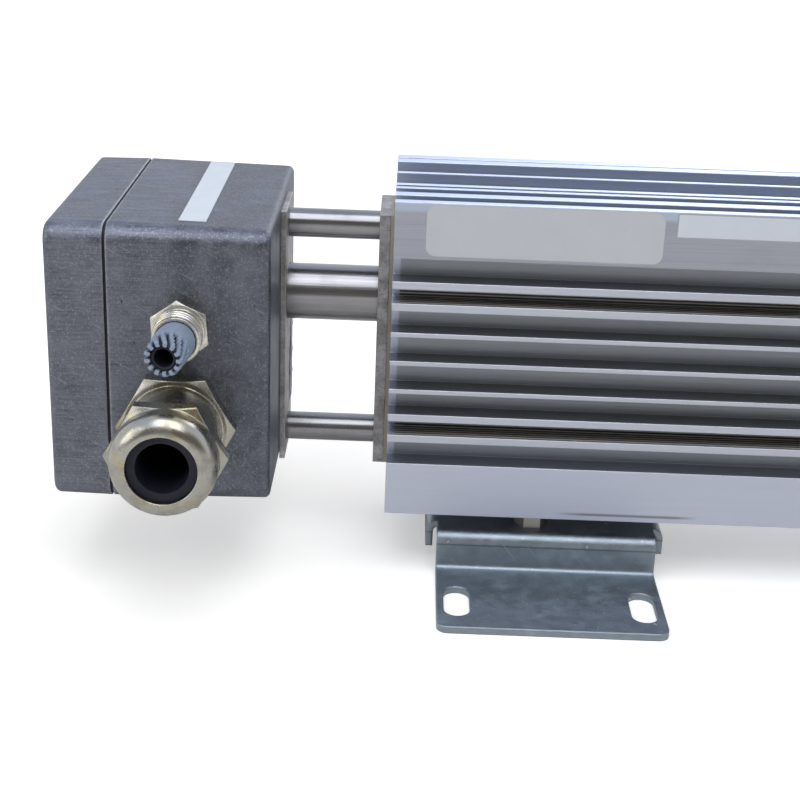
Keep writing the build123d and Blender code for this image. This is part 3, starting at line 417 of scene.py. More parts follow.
def make_extruded_aluminium(colour, low, high):
    """Mill-finished extrusion: die lines along X, painted shade in the grooves and screw channels,
    painted light on the fin tips, top edges, channel ridges, groove ends and upper faces, and edges
    partly rubbed, partly lightened by a painted highlight.
    """
    material, tree, shader, place = new_material("extruded_aluminium", 0.42, 1.0)
    zone = profile_zones(tree, place, low, high)
    lines = tree.use("fine lines", {"Vector": place, "Stretch": (0.012, 3.2, 3.2)})["Value"]
    broad = tree.use("fine lines", {"Vector": place, "Stretch": (0.004, 0.5, 0.5)})["Value"]
    dots = tree.use("flecks", {"Vector": place, "Size": 4.5, "Share": 0.16,
                               "Radius": 0.09})["Mask"]
    smear = tree.use("patches", {"Vector": tree.vector("MULTIPLY", place, (0.35, 1.0, 1.0)),
                                 "Size": 16.0, "Low": 0.52, "High": 0.72})["Mask"]
    rubbed_and_highlit_edges = tree.use("rubbed and highlit edges", {"Radius": 0.0004, "Strength": 2.2, "Vector": place})
    base = tree.mix(tree.math("MULTIPLY", lines, 0.35), rgba(colour),
                    rgba([c * 0.72 for c in colour]))
    base = tree.mix(tree.math("MULTIPLY", broad, 0.25), base, rgba([c * 1.25 for c in colour]))
    base = tree.mix(tree.math("MULTIPLY", smear, 0.25), base, rgba([c * 0.6 for c in colour]))
    base = tree.mix(tree.math("MULTIPLY", dots, 0.6), base, rgba([c * 0.35 for c in colour]))
    # Painted reflection of the sky: the upper faces get a pale blue tint.
    base = tree.mix(tree.math("MULTIPLY", zone["top"], 0.8), base, (0.52, 0.60, 0.74, 1.0))
    # Painted shade: darker inside the grooves, and darker still deep in them.
    base = tree.mix(tree.math("MULTIPLY", zone["groove"], 0.8), base, (0.33, 0.35, 0.37, 1.0))
    base = tree.mix(tree.math("MULTIPLY", zone["deep"], 0.7), base, (0.26, 0.28, 0.30, 1.0))
    base = tree.mix(tree.math("MULTIPLY", zone["foot"], 0.8), base, (0.62, 0.66, 0.78, 1.0))
    # Painted shade in the screw channels, with painted light on the slopes of their ridges.
    base = tree.mix(zone["channel"], base, (0.10, 0.10, 0.11, 1.0))
    base = tree.mix(tree.math("MULTIPLY", zone["ridges"], 0.9), base, (0.66, 0.63, 0.59, 1.0))
    # Painted highlight: pale fin tips, and a pale blue line along the top edges.
    base = tree.mix(tree.math("MULTIPLY", zone["tips"], 0.6), base, (0.66, 0.69, 0.78, 1.0))
    base = tree.mix(tree.math("MULTIPLY", zone["painted_top_edge_glint"], 0.8), base, (0.64, 0.72, 0.92, 1.0))
    # Painted light: the grooves are paler within about two millimetres of the profile's low end.
    ends = tree.math("MULTIPLY", zone["end"], zone["groove"])
    base = tree.mix(tree.math("MULTIPLY", ends, 0.8), base, (0.46, 0.49, 0.60, 1.0))
    base = tree.mix(tree.math("MULTIPLY", zone["smear"], 0.6), base, (0.10, 0.09, 0.09, 1.0))
    # Edges lightened: partly rubbed wear, partly a painted highlight.
    base = tree.mix(rubbed_and_highlit_edges["Mask"], base, (0.86, 0.88, 0.93, 1.0))
    tree.feed(shader.inputs["Base Color"], base)
    tree.feed(shader.inputs["Roughness"], tree.spread(lines, 0.0, 1.0, 0.36, 0.5))
    set_bump(tree, shader, lines, 0.35, 0.00005, rubbed_and_highlit_edges["Normal"])
    return material


def make_cast_aluminium(colour):
    """Raw tumbled casting: dark skin with light flecks, pits, brushing and bright edges, partly rubbed
    and partly a painted highlight.
    """
    material, tree, shader, place = new_material("cast_aluminium", 0.5, 1.0)
    fine = tree.use("flecks", {"Vector": place, "Size": 0.75, "Share": 0.34,
                               "Radius": 0.34})["Mask"]
    large = tree.use("flecks", {"Vector": place, "Size": 2.1, "Share": 0.2,
                                "Radius": 0.2})["Mask"]
    cloud = tree.use("patches", {"Vector": place, "Size": 9.0, "Low": 0.35,
                                 "High": 0.7})["Mask"]
    brushed = tree.use("fine lines", {"Vector": place, "Stretch": (0.1, 0.6, 2.4)})["Value"]
    pits = tree.use("flecks", {"Vector": place, "Size": 3.4, "Share": 0.2,
                               "Radius": 0.12})["Mask"]
    curls = tree.use("curls", {"Vector": place, "Size": 0.62, "Width": 0.045,
                               "Share": 0.45})["Mask"]
    strokes = tree.use("straight scratches", {
        "Vector": place, "Turn": (0.0, 0.5, 0.0), "Stroke": (9.0, 0.4, 0.4),
        "Threshold": 0.75})["Mask"]
    along = tree.add("ShaderNodeSeparateXYZ", {"Vector": place}).outputs["X"]
    off_seam = tree.math("ABSOLUTE", tree.math("SUBTRACT", along, SEAM_X))
    brushed = tree.math("MULTIPLY", brushed, tree.spread(off_seam, 18.0, 14.0, 0.25, 1.0))
    rubbed_and_highlit_edges = tree.use("rubbed and highlit edges", {"Radius": 0.0011, "Strength": 2.6, "Vector": place})
    base = tree.mix(cloud, rgba([c * 0.6 for c in colour]), rgba([c * 1.15 for c in colour]))
    base = tree.mix(tree.math("MULTIPLY", brushed, 0.5), base, rgba([c * 1.8 for c in colour]))
    base = tree.mix(tree.math("MULTIPLY", fine, 0.42), base, rgba([c * 2.3 for c in colour]))
    base = tree.mix(tree.math("MULTIPLY", large, 0.3), base, rgba([c * 2.4 for c in colour]))
    base = tree.mix(tree.math("MULTIPLY", curls, 0.5), base, rgba([c * 2.6 for c in colour]))
    base = tree.mix(tree.math("MULTIPLY", strokes, 0.25), base, rgba([c * 2.8 for c in colour]))
    base = tree.mix(tree.math("MULTIPLY", pits, 0.8), base, rgba([c * 0.3 for c in colour]))
    # Edges lightened: partly rubbed wear, partly a painted highlight.
    base = tree.mix(rubbed_and_highlit_edges["Mask"], base, (0.55, 0.56, 0.6, 1.0))
    tree.feed(shader.inputs["Base Color"], base)
    tree.feed(shader.inputs["Roughness"], tree.spread(cloud, 0.0, 1.0, 0.42, 0.58))
    height = tree.math("SUBTRACT", tree.math("ADD", tree.math("MULTIPLY", brushed, 0.5),
                                             tree.math("MULTIPLY", fine, 0.3)), pits)
    set_bump(tree, shader, height, 0.35, 0.00012, rubbed_and_highlit_edges["Normal"])
    return material


def make_drawn_steel(name, colour, roughness, stretch, edge=0.0003):
    """Steel with lines along one direction, and edges lightly rubbed and lightened by a painted
    highlight.
    """
    material, tree, shader, place = new_material(name, roughness, 1.0)
    lines = tree.use("fine lines", {"Vector": place, "Stretch": stretch})["Value"]
    stain = tree.use("patches", {"Vector": place, "Size": 7.0, "Low": 0.45,
                                 "High": 0.75})["Mask"]
    rubbed_and_highlit_edges = tree.use("rubbed and highlit edges", {"Radius": edge, "Strength": 2.0, "Vector": place})
    base = tree.mix(tree.math("MULTIPLY", lines, 0.5), rgba(colour),
                    rgba([c * 0.65 for c in colour]))
    base = tree.mix(tree.math("MULTIPLY", stain, 0.35), base, rgba([c * 0.6 for c in colour]))
    # Edges lightened: partly rubbed wear, partly a painted highlight.
    base = tree.mix(rubbed_and_highlit_edges["Mask"], base, rgba([min(1.0, c * 2.0) for c in colour]))
    tree.feed(shader.inputs["Base Color"], base)
    tree.feed(shader.inputs["Roughness"],
              tree.spread(lines, 0.0, 1.0, roughness - 0.05, roughness + 0.1))
    set_bump(tree, shader, lines, 0.25, 0.00004, rubbed_and_highlit_edges["Normal"])
    return material


def make_sheet_steel():
    """Plates with a dull face and rough, stippled cut edges."""
    material, tree, shader, place = new_material("stainless_steel", 0.5, 1.0)
    grit = tree.use("flecks", {"Vector": place, "Size": 0.55, "Share": 0.5,
                               "Radius": 0.4})["Mask"]
    cloud = tree.use("patches", {"Vector": place, "Size": 4.0, "Low": 0.35,
                                 "High": 0.7})["Mask"]
    rubbed_and_highlit_edges = tree.use("rubbed and highlit edges", {"Radius": 0.00035, "Strength": 2.4, "Vector": place})
    base = tree.mix(cloud, (0.28, 0.27, 0.27, 1.0), (0.46, 0.45, 0.47, 1.0))
    base = tree.mix(tree.math("MULTIPLY", grit, 0.55), base, (0.08, 0.075, 0.07, 1.0))
    # Edges lightened: partly rubbed wear, partly a painted highlight.
    base = tree.mix(rubbed_and_highlit_edges["Mask"], base, (0.66, 0.66, 0.7, 1.0))
    tree.feed(shader.inputs["Base Color"], base)
    set_bump(tree, shader, grit, 0.5, 0.00012, rubbed_and_highlit_edges["Normal"])
    return material


def make_nickel_brass(name, colour, centre):
    """Worn nickel over brass: lathe rings, dull patches and yellow where it has rubbed thin."""
    material, tree, shader, place = new_material(name, 0.3, 1.0)
    rings = tree.use("turned marks", {"Vector": place, "Centre": centre,
                                      "Fineness": 5.0})["Value"]
    dull = tree.use("patches", {"Vector": place, "Size": 5.0, "Low": 0.42,
                                "High": 0.68})["Mask"]
    brass = tree.use("patches", {"Vector": tree.vector("ADD", place, (31.0, 7.0, 3.0)),
                                 "Size": 7.5, "Low": 0.46, "High": 0.7})["Mask"]
    specks = tree.use("flecks", {"Vector": place, "Size": 1.1, "Share": 0.22,
                                 "Radius": 0.3})["Mask"]
    rubbed_and_highlit_edges = tree.use("rubbed and highlit edges", {"Radius": 0.0005, "Strength": 2.2, "Vector": place})
    base = tree.mix(tree.math("MULTIPLY", brass, 0.7), rgba(colour), (0.5, 0.41, 0.2, 1.0))
    base = tree.mix(tree.math("MULTIPLY", dull, 0.4), base, rgba([c * 0.5 for c in colour]))
    base = tree.mix(tree.math("MULTIPLY", rings, 0.2), base, rgba([c * 0.6 for c in colour]))
    base = tree.mix(tree.math("MULTIPLY", specks, 0.4), base, rgba([c * 0.45 for c in colour]))
    # Edges lightened: partly rubbed wear, partly a painted highlight.
    base = tree.mix(rubbed_and_highlit_edges["Mask"], base, (0.86, 0.83, 0.72, 1.0))
    tree.feed(shader.inputs["Base Color"], base)
    tree.feed(shader.inputs["Roughness"], tree.spread(dull, 0.0, 1.0, 0.2, 0.4))
    set_bump(tree, shader, tree.math("SUBTRACT", rings, specks), 0.2, 0.00004, rubbed_and_highlit_edges["Normal"])
    return material


def make_galvanised_sheet(colour):
    """Zinc-plated sheet: mottled blue-green grey, pale blotches, white specks, and bends partly
    rubbed, partly lightened by a painted highlight.
    """
    material, tree, shader, place = new_material("galvanised_sheet", 0.46, 1.0)
    mottle = tree.use("patches", {"Vector": place, "Size": 3.2, "Low": 0.3,
                                  "High": 0.72})["Mask"]
    pale = tree.use("patches", {"Vector": place, "Size": 13.0, "Low": 0.52,
                                "High": 0.72})["Mask"]
    specks = tree.use("flecks", {"Vector": place, "Size": 5.5, "Share": 0.22,
                                 "Radius": 0.09})["Mask"]
    grit = tree.use("flecks", {"Vector": place, "Size": 0.9, "Share": 0.3,
                               "Radius": 0.3})["Mask"]
    scratch = tree.use("straight scratches", {
        "Vector": place, "Turn": (0.0, 0.9, 0.0), "Stroke": (22.0, 0.5, 0.35),
        "Threshold": 0.76})["Mask"]
    height = tree.add("ShaderNodeSeparateXYZ", {"Vector": place}).outputs["Z"]
    off_press = tree.math("ABSOLUTE", tree.math("SUBTRACT", height, PROFILE_FOOT - 9.05))
    press = tree.spread(off_press, 0.3, 0.12)
    rubbed_and_highlit_edges = tree.use("rubbed and highlit edges", {"Radius": 0.0009, "Strength": 1.7, "Vector": place})
    base = tree.mix(mottle, rgba([c * 0.93 for c in colour]), rgba([c * 1.1 for c in colour]))
    base = tree.mix(tree.math("MULTIPLY", grit, 0.3), base, rgba([c * 0.7 for c in colour]))
    base = tree.mix(tree.math("MULTIPLY", pale, 0.35), base, rgba([c * 2.0 for c in colour]))
    base = tree.mix(tree.math("MULTIPLY", press, 0.6), base, rgba([c * 0.35 for c in colour]))
    base = tree.mix(tree.math("MULTIPLY", scratch, 0.7), base, (0.6, 0.62, 0.66, 1.0))
    base = tree.mix(tree.math("MULTIPLY", specks, 0.9), base, (0.95, 0.96, 0.98, 1.0))
    # Bends and edges lightened: partly rubbed wear, partly a painted highlight.
    base = tree.mix(tree.math("MULTIPLY", rubbed_and_highlit_edges["Mask"], 0.5), base, (0.55, 0.60, 0.66, 1.0))
    tree.feed(shader.inputs["Base Color"], base)
    tree.feed(shader.inputs["Roughness"], tree.spread(mottle, 0.0, 1.0, 0.38, 0.52))
    set_bump(tree, shader, mottle, 0.3, 0.00008, rubbed_and_highlit_edges["Normal"])
    return material


def make_plain(name, colour, roughness, metallic=0.0, grain=0.6, depth=0.3, edge=0.0003,
               contrast=0.25, **sockets):
    """Moulded, fired or stamped stuff: fine grain, slight clouding, and softened edges lightened
    partly as wear, partly as a painted highlight.
    """
    material, tree, shader, place = new_material(name, roughness, metallic, **sockets)
    cloud = tree.use("patches", {"Vector": place, "Size": 6.0, "Low": 0.3, "High": 0.7})["Mask"]
    fine = tree.use("fine lines", {"Vector": place, "Stretch": (1 / grain,) * 3})["Value"]
    rubbed_and_highlit_edges = tree.use("rubbed and highlit edges", {"Radius": edge, "Strength": 1.2, "Vector": place})
    base = tree.mix(tree.math("MULTIPLY", cloud, contrast), rgba(colour),
                    rgba([c * 0.7 for c in colour]))
    base = tree.mix(tree.math("MULTIPLY", fine, contrast), base,
                    rgba([min(1.0, c * 1.25) for c in colour]))
    # Edges lightened: partly wear, partly a painted highlight.
    base = tree.mix(tree.math("MULTIPLY", rubbed_and_highlit_edges["Mask"], 0.5), base,
                    rgba([min(1.0, c * 1.6 + 0.02) for c in colour]))
    tree.feed(shader.inputs["Base Color"], base)
    tree.feed(shader.inputs["Roughness"],
              tree.spread(cloud, 0.0, 1.0, roughness, min(1.0, roughness + 0.12)))
    set_bump(tree, shader, fine, depth, 0.00005, rubbed_and_highlit_edges["Normal"])
    return material


def make_clamp_plastic(colour):
    """Grey clamp plastic, near black as painted shade where a point attribute marks the floor of a
    slot.
    """
    material = make_plain("grey_polyamide", colour, 0.4, grain=0.9, contrast=0.3)
    tree = Tree(material.node_tree)
    base = material.node_tree.nodes["Principled BSDF"].inputs["Base Color"]
    # Painted shade: near black on the floors of the slots between the fingers.
    slot = tree.add("ShaderNodeAttribute", attribute_name="painted_slot_shade").outputs["Fac"]
    tree.feed(base, tree.mix(tree.spread(slot, 0.3, 0.8), base.links[0].from_socket,
                             (0.012, 0.014, 0.022, 1.0)))
    return material


def make_label(name, colour, border):
    """Printed film left without print: a soft sheen, faint scuffs and a thin dark border."""
    material, tree, shader, place = new_material(name, 0.35, 0.0)
    scuff = tree.use("scratches", {"Vector": place, "Stretch": (0.4, 1.0, 0.15),
                                   "Width": 0.006, "Share": 0.5})["Mask"]
    cloud = tree.use("patches", {"Vector": place, "Size": 8.0, "Low": 0.3, "High": 0.7})["Mask"]
    base = tree.mix(tree.math("MULTIPLY", cloud, 0.2), rgba(colour),
                    rgba([c * 0.86 for c in colour]))
    base = tree.mix(tree.math("MULTIPLY", scuff, 0.3), base, rgba([c * 0.7 for c in colour]))
    if border is not None:
        low, high, width = border
        axes = tree.add("ShaderNodeSeparateXYZ", {"Vector": place}).outputs
        inside = 1.0
        for axis in ("X", "Z"):
            a, b = low[axis == "Z"], high[axis == "Z"]
            inside = tree.math("MULTIPLY", inside, tree.math("GREATER_THAN", axes[axis], a + width))
            inside = tree.math("MULTIPLY", inside, tree.math("LESS_THAN", axes[axis], b - width))
        base = tree.mix(inside, (0.36, 0.38, 0.42, 1.0), base)
    tree.feed(shader.inputs["Base Color"], base)
    tree.feed(shader.inputs["Roughness"], tree.spread(cloud, 0.0, 1.0, 0.3, 0.45))
    set_bump(tree, shader, cloud, 0.1, 0.0001)
    return material


def assign(material, nodes):
    """Gives one material to CAD nodes that the scene shows."""
    for name in nodes:
        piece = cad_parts[name]
        piece.data.materials.clear()
        piece.data.materials.append(material)


def millimetres(point):
    return tuple(1000.0 * value for value in point)


class RESISTOR_OT_effects(bpy.types.Operator):
    """Build the shared effects that the finishes are made of"""

    bl_idname = "resistor.effects"
    bl_label = "Build shared effects"

    def execute(self, context):
        for build in (build_fine_lines, build_flecks, build_patches, build_rubbed_and_highlit_edges,
                      build_scratches, build_curls, build_straight_scratches,
                      build_turned_marks):
            build()
        return {"FINISHED"}


class RESISTOR_OT_profile_finish(bpy.types.Operator):
    """Finish the finned profile, end plates, gaskets and tubes"""

    bl_idname = "resistor.profile_finish"
    bl_label = "Finish profile and hot end"

    def execute(self, context):
        finish = context.scene.resistor_finish
        low, high = (millimetres(corner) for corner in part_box("heat_sink_profile"))
        assign(make_extruded_aluminium(finish.profile_colour[:], low, high),
               ["heat_sink_profile"])
        assign(make_sheet_steel(), ["near_end_plate", "box_flange_plate", "far_end_plate"])
        assign(make_plain("fibre_gasket", (0.40, 0.37, 0.30), 0.8, grain=0.4, depth=0.6),
               ["near_end_gasket", "far_end_gasket"])
        assign(make_drawn_steel("stainless_tube", finish.tube_colour[:], 0.2, (0.02, 1.6, 1.6)),
               ["upper_spacer_tube", "lower_spacer_tube", "conduit_tube"])
        assign(make_drawn_steel("stainless_screw", (0.4, 0.4, 0.4), 0.3, (1.0, 1.0, 1.0)),
               ["long_fixing_screws", "far_end_screws", "lid_screws"])
        return {"FINISHED"}


class RESISTOR_OT_box_finish(bpy.types.Operator):
    """Finish the terminal box and what is in it"""

    bl_idname = "resistor.box_finish"
    bl_label = "Finish terminal box"

    def execute(self, context):
        finish = context.scene.resistor_finish
        assign(make_cast_aluminium(finish.casting_colour[:]),
               ["terminal_box_base", "terminal_box_lid"])
        assign(make_plain("black_rubber", (0.004, 0.006, 0.016), 0.6, depth=0.4),
               ["lid_seal", "large_gland_seal", "small_gland_seal"])
        assign(make_plain("terminal_plastic", (0.5, 0.48, 0.4), 0.45), ["terminal_strip"])
        assign(make_plain("brass_screw", (0.6, 0.5, 0.25), 0.3, metallic=1.0),
               ["terminal_screws", "earth_screw"])
        return {"FINISHED"}


class RESISTOR_OT_gland_finish(bpy.types.Operator):
    """Finish both cable glands"""

    bl_idname = "resistor.gland_finish"
    bl_label = "Finish cable glands"

    def execute(self, context):
        finish = context.scene.resistor_finish
        for size in ("large", "small"):
            low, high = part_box(f"{size}_gland_body")
            centre = millimetres((low + high) / 2)
            nodes = [f"{size}_gland_body", f"{size}_gland_locknut"]
            if size == "large":
                nodes.append("large_gland_nut")
            share = 1.0 if size == "large" else 1.7
            colour = [min(1.0, c * share) for c in finish.gland_colour]
            assign(make_nickel_brass(f"nickel_plated_brass_{size}", colour, centre), nodes)
        assign(make_clamp_plastic(finish.claw_colour[:]),
               ["large_gland_claw", "small_gland_claw"])
        return {"FINISHED"}


class RESISTOR_OT_bracket_finish(bpy.types.Operator):
    """Finish the mounting brackets and their bolts"""

    bl_idname = "resistor.bracket_finish"
    bl_label = "Finish brackets"

    def execute(self, context):
        finish = context.scene.resistor_finish
        assign(make_galvanised_sheet(finish.zinc_colour[:]),
               ["near_mounting_bracket", "far_mounting_bracket"])
        assign(make_plain("yellow_zinc_steel", (0.52, 0.48, 0.42), 0.35, metallic=1.0),
               ["bracket_bolts", "bracket_washers", "bracket_spacer_nuts", "bracket_lock_nuts"])
        return {"FINISHED"}


class RESISTOR_OT_element_finish(bpy.types.Operator):
    """Finish the resistance element, switch and wires inside"""

    bl_idname = "resistor.element_finish"
    bl_label = "Finish resistance element"

    def execute(self, context):
        assign(make_plain("steatite", (0.72, 0.69, 0.62), 0.5), ["element_core",
                                                                "element_end_caps"])
        assign(make_plain("mica_board", (0.4, 0.34, 0.24), 0.6, contrast=0.5),
               ["insulating_boards"])
        assign(make_plain("resistance_alloy", (0.3, 0.27, 0.24), 0.45, metallic=1.0),
               ["resistance_winding"])
        assign(make_plain("sensor_case", (0.03, 0.03, 0.03), 0.5), ["temperature_switch"])
        assign(make_plain("glass_silk_sleeve", (0.66, 0.62, 0.5), 0.8, grain=0.3, depth=0.8),
               ["first_power_wire", "second_power_wire"])
        assign(make_plain("sensor_wire_sleeve", (0.5, 0.1, 0.07), 0.7, grain=0.3, depth=0.6),
               ["first_sensor_wire", "second_sensor_wire"])
        return {"FINISHED"}


class RESISTOR_OT_label_finish(bpy.types.Operator):
    """Finish the labels, which stay without print"""

    bl_idname = "resistor.label_finish"
    bl_label = "Finish labels"

    def execute(self, context):
        low, high = (millimetres(corner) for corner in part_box("second_label"))
        assign(make_label("silver_label", (0.50, 0.52, 0.56), None), ["rating_label"])
        assign(make_label("white_label", (0.62, 0.69, 0.80), None), ["box_label"])
        assign(make_label("bordered_label", (0.60, 0.64, 0.72),
                          ((low[0], low[2]), (high[0], high[2]), 0.35)), ["second_label"])
        return {"FINISHED"}


def close_round(name, rings):
    """Ring-shaped closed solid: rings of points joined round, the last ring to the first as well."""
    count, around = rings.shape[:2]
    index = np.arange(count * around).reshape(count, around)
    turned, onward = np.roll(index, -1, axis=1), np.roll(index, -1, axis=0)
    sides = np.stack([index, turned, np.roll(onward, -1, axis=1), onward], axis=-1)
    return add_piece(name, rings, sides.reshape(-1, 4).tolist())


def sweep(name, rings):
    """Closed solid through rings of points, given as an array of rings by points by three.

    Point j of ring i joins point j + 1 of its ring and point j of ring i + 1, so each four of them
    make one face. The first and the last ring are closed by flat caps.
    """
    count, around = rings.shape[:2]
    index = np.arange(count * around).reshape(count, around)
    turned = np.roll(index, -1, axis=1)
    sides = np.stack([index[:-1], turned[:-1], turned[1:], index[1:]], axis=-1).reshape(-1, 4)
    return add_piece(name, rings, [*sides.tolist(), index[0, ::-1].tolist(),
                                   index[-1].tolist()])


def add_piece(name, rings, faces):
    """Object of a closed mesh from points in millimetres, with its faces turned outward."""
    mesh = bpy.data.meshes.new(name)
    mesh.from_pydata((rings.reshape(-1, 3) / 1000.0).tolist(), [], faces)
    shape = bmesh.new()
    shape.from_mesh(mesh)
    bmesh.ops.recalc_face_normals(shape, faces=shape.faces)
    shape.to_mesh(mesh)
    shape.free()
    mesh.shade_smooth()
    mesh.set_sharp_from_angle(angle=math.radians(40.0))
    piece = bpy.data.objects.new(name, mesh)
    bpy.context.scene.collection.objects.link(piece)
    return piece


class RESISTOR_OT_gland_thread(bpy.types.Operator):
    """Build the thread ridges that show on the small gland's open collar"""

    bl_idname = "resistor.gland_thread"
    bl_label = "Build gland thread"

    def execute(self, context):
        """A helix: the angle grows by one turn per pitch of way back from the collar's mouth."""
        detail = context.scene.resistor_detail
        pitch, height = 1000.0 * detail.thread_pitch, 1000.0 * detail.thread_height
        up = np.array((0.0, 0.0, 1.0))
        aside = np.cross(up, GLAND_AXIS)
        back = np.linspace(0.7, 6.0, 260)[:, None]
        angle = 2.0 * math.pi * back / pitch
        along = np.array((-0.34, -0.30, -0.1, 0.1, 0.30, 0.34)) * pitch
        crest = np.array((-0.25, 0.0, 1.0, 1.0, 0.0, -0.25))
        fade = np.clip(np.minimum(back - 0.7, 6.0 - back) / 0.6, 0.15, 1.0)
        rise = np.where(crest > 0.0, crest * height * fade, crest)
        radius = COLLAR_RADIUS + rise
        rings = (COLLAR_MOUTH - GLAND_AXIS * (back + along)[..., None]
                 + (radius * np.cos(angle))[..., None] * aside
                 + (radius * np.sin(angle))[..., None] * up)
        piece = sweep("small_gland_thread", rings)
        piece.data.materials.append(bpy.data.materials["nickel_plated_brass_small"])
        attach(piece, "root")
        return {"FINISHED"}


class RESISTOR_OT_leaning_claw(bpy.types.Operator):
    """Build the small gland's clamp and seal, bent sideways and down as a pulled cable leaves them"""

    bl_idname = "resistor.leaning_claw"
    bl_label = "Build leaning clamp"

    def execute(self, context):
        """Both are turned about one leaning axis, and the clamp is cut into slanted fingers.

        The outline goes out along the outer radius and back along the bore. Between fingers the
        outer radius drops to just over the bore, in slots whose angle grows with the way outward.
        """
        detail = context.scene.resistor_detail
        side, down = math.sin(detail.claw_side), math.sin(detail.claw_down)
        axis = np.array((-side, -math.sqrt(1.0 - side * side - down * down), -down))
        across = np.cross(axis, (0.0, 0.0, 1.0))
        across /= np.linalg.norm(across)
        over = np.cross(across, axis)
        reach = 1000.0 * detail.claw_reach
        angle = np.linspace(0.0, 2.0 * math.pi, 468, endpoint=False)[:, None]

        def turn(way, radius):
            """Points at a way along the leaning axis and a radius off it."""
            return (COLLAR_MOUTH + axis * way[..., None]
                    + (radius * np.cos(angle))[..., None] * across
                    + (radius * np.sin(angle))[..., None] * over)

        outward = np.array((-2.0, 0.0, 2.6, 5.2, 5.6, 6.2, 7.5, 9.0, 10.3, 11.2, 11.6))
        outer = np.array((4.6, 5.0, 5.1, 5.1, 5.0, 4.9, 4.9, 4.9, 4.85, 4.75, 4.4))
        bore = np.full(7, 3.3)
        back = np.linspace(11.5, -2.0, 7)
        way = np.concatenate([outward, back])[None, :] * reach / 11.6
        radius = np.concatenate([outer, bore])[None, :]
        slant = np.clip((way - 5.2) / 6.4, 0.0, 1.0) * 0.55
        phase = (angle - slant) * FINGERS / (2.0 * math.pi)
        slot = np.clip((0.25 - np.abs(phase - np.round(phase))) / 0.05, 0.0, 1.0)
        cut = slot * np.clip((way - 5.4) / 0.5, 0.0, 1.0)
        radius = radius - cut * (radius - 3.6 - 0.1 * np.sign(radius - 3.6))
        claw = close_round("small_gland_clamp", turn(way + 0.0 * angle, radius))
        # This attribute carries painted shade: it marks the slot floors that the clamp's material
        # darkens.
        depth = claw.data.attributes.new("painted_slot_shade", "FLOAT", "POINT")
        depth.data.foreach_set("value", cut.astype(np.float32).ravel())
        way = np.array((-1.0, 4.0, 10.7, 11.0, 10.7, 4.0, -1.0))[None, :] + 0.0 * angle
        radius = np.array((3.2, 3.2, 3.2, 2.9, 2.4, 2.4, 2.4))[None, :]
        seal = close_round("small_gland_sleeve", turn(way, radius))
        for piece, node, kept in ((claw, "small_gland_claw", "grey_polyamide"),
                                  (seal, "small_gland_seal", "black_rubber")):
            piece.data.materials.append(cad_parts[node].data.materials[0])
            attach(piece, "root")
            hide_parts(node)
        return {"FINISHED"}


class RESISTOR_OT_sealant(bpy.types.Operator):
    """Build the film of sealant pressed out on the flange plate, with its stray strand"""

    bl_idname = "resistor.sealant"
    bl_label = "Build sealant"

    def execute(self, context):
        """Ovals stacked in height: half widths rise and fall as sums of two sine waves."""
        length = 1000.0 * context.scene.resistor_detail.sealant_length
        turn = np.linspace(0.0, 2.0 * math.pi, 16, endpoint=False)[None, :]
        share = np.linspace(0.0, 1.0, 90)[:, None]
        ends = np.sqrt(np.clip(np.sin(math.pi * share), 0.01, 1.0))
        wave = 0.72 + 0.18 * np.sin(23.0 * share) + 0.1 * np.sin(51.0 * share + 1.0)
        x = FLANGE_FACE + 0.45 * ends * wave * (1.0 + np.cos(turn)) - 0.05
        y = 12.0 + 0.4 * np.sin(9.0 * share) + 2.0 * ends * wave * np.sin(turn)
        z = PROFILE_FOOT + 44.8 - length * share + 0.0 * turn
        film = sweep("sealant_film", np.stack([x, y, z], axis=-1))
        bend = share[::3]
        x = FLANGE_FACE + 0.5 + 1.3 * bend ** 2 + 0.08 * np.cos(turn)
        y = 12.0 + 0.08 * np.sin(turn) + 0.0 * bend
        z = PROFILE_FOOT + 41.5 + 3.6 * bend + 0.0 * turn
        strand = sweep("sealant_strand", np.stack([x, y, z], axis=-1))
        material = make_plain("sealant", (0.62, 0.65, 0.72), 0.4, grain=0.7, contrast=0.5)
        for piece in (film, strand):
            piece.data.materials.append(material)
            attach(piece, "root")
        return {"FINISHED"}


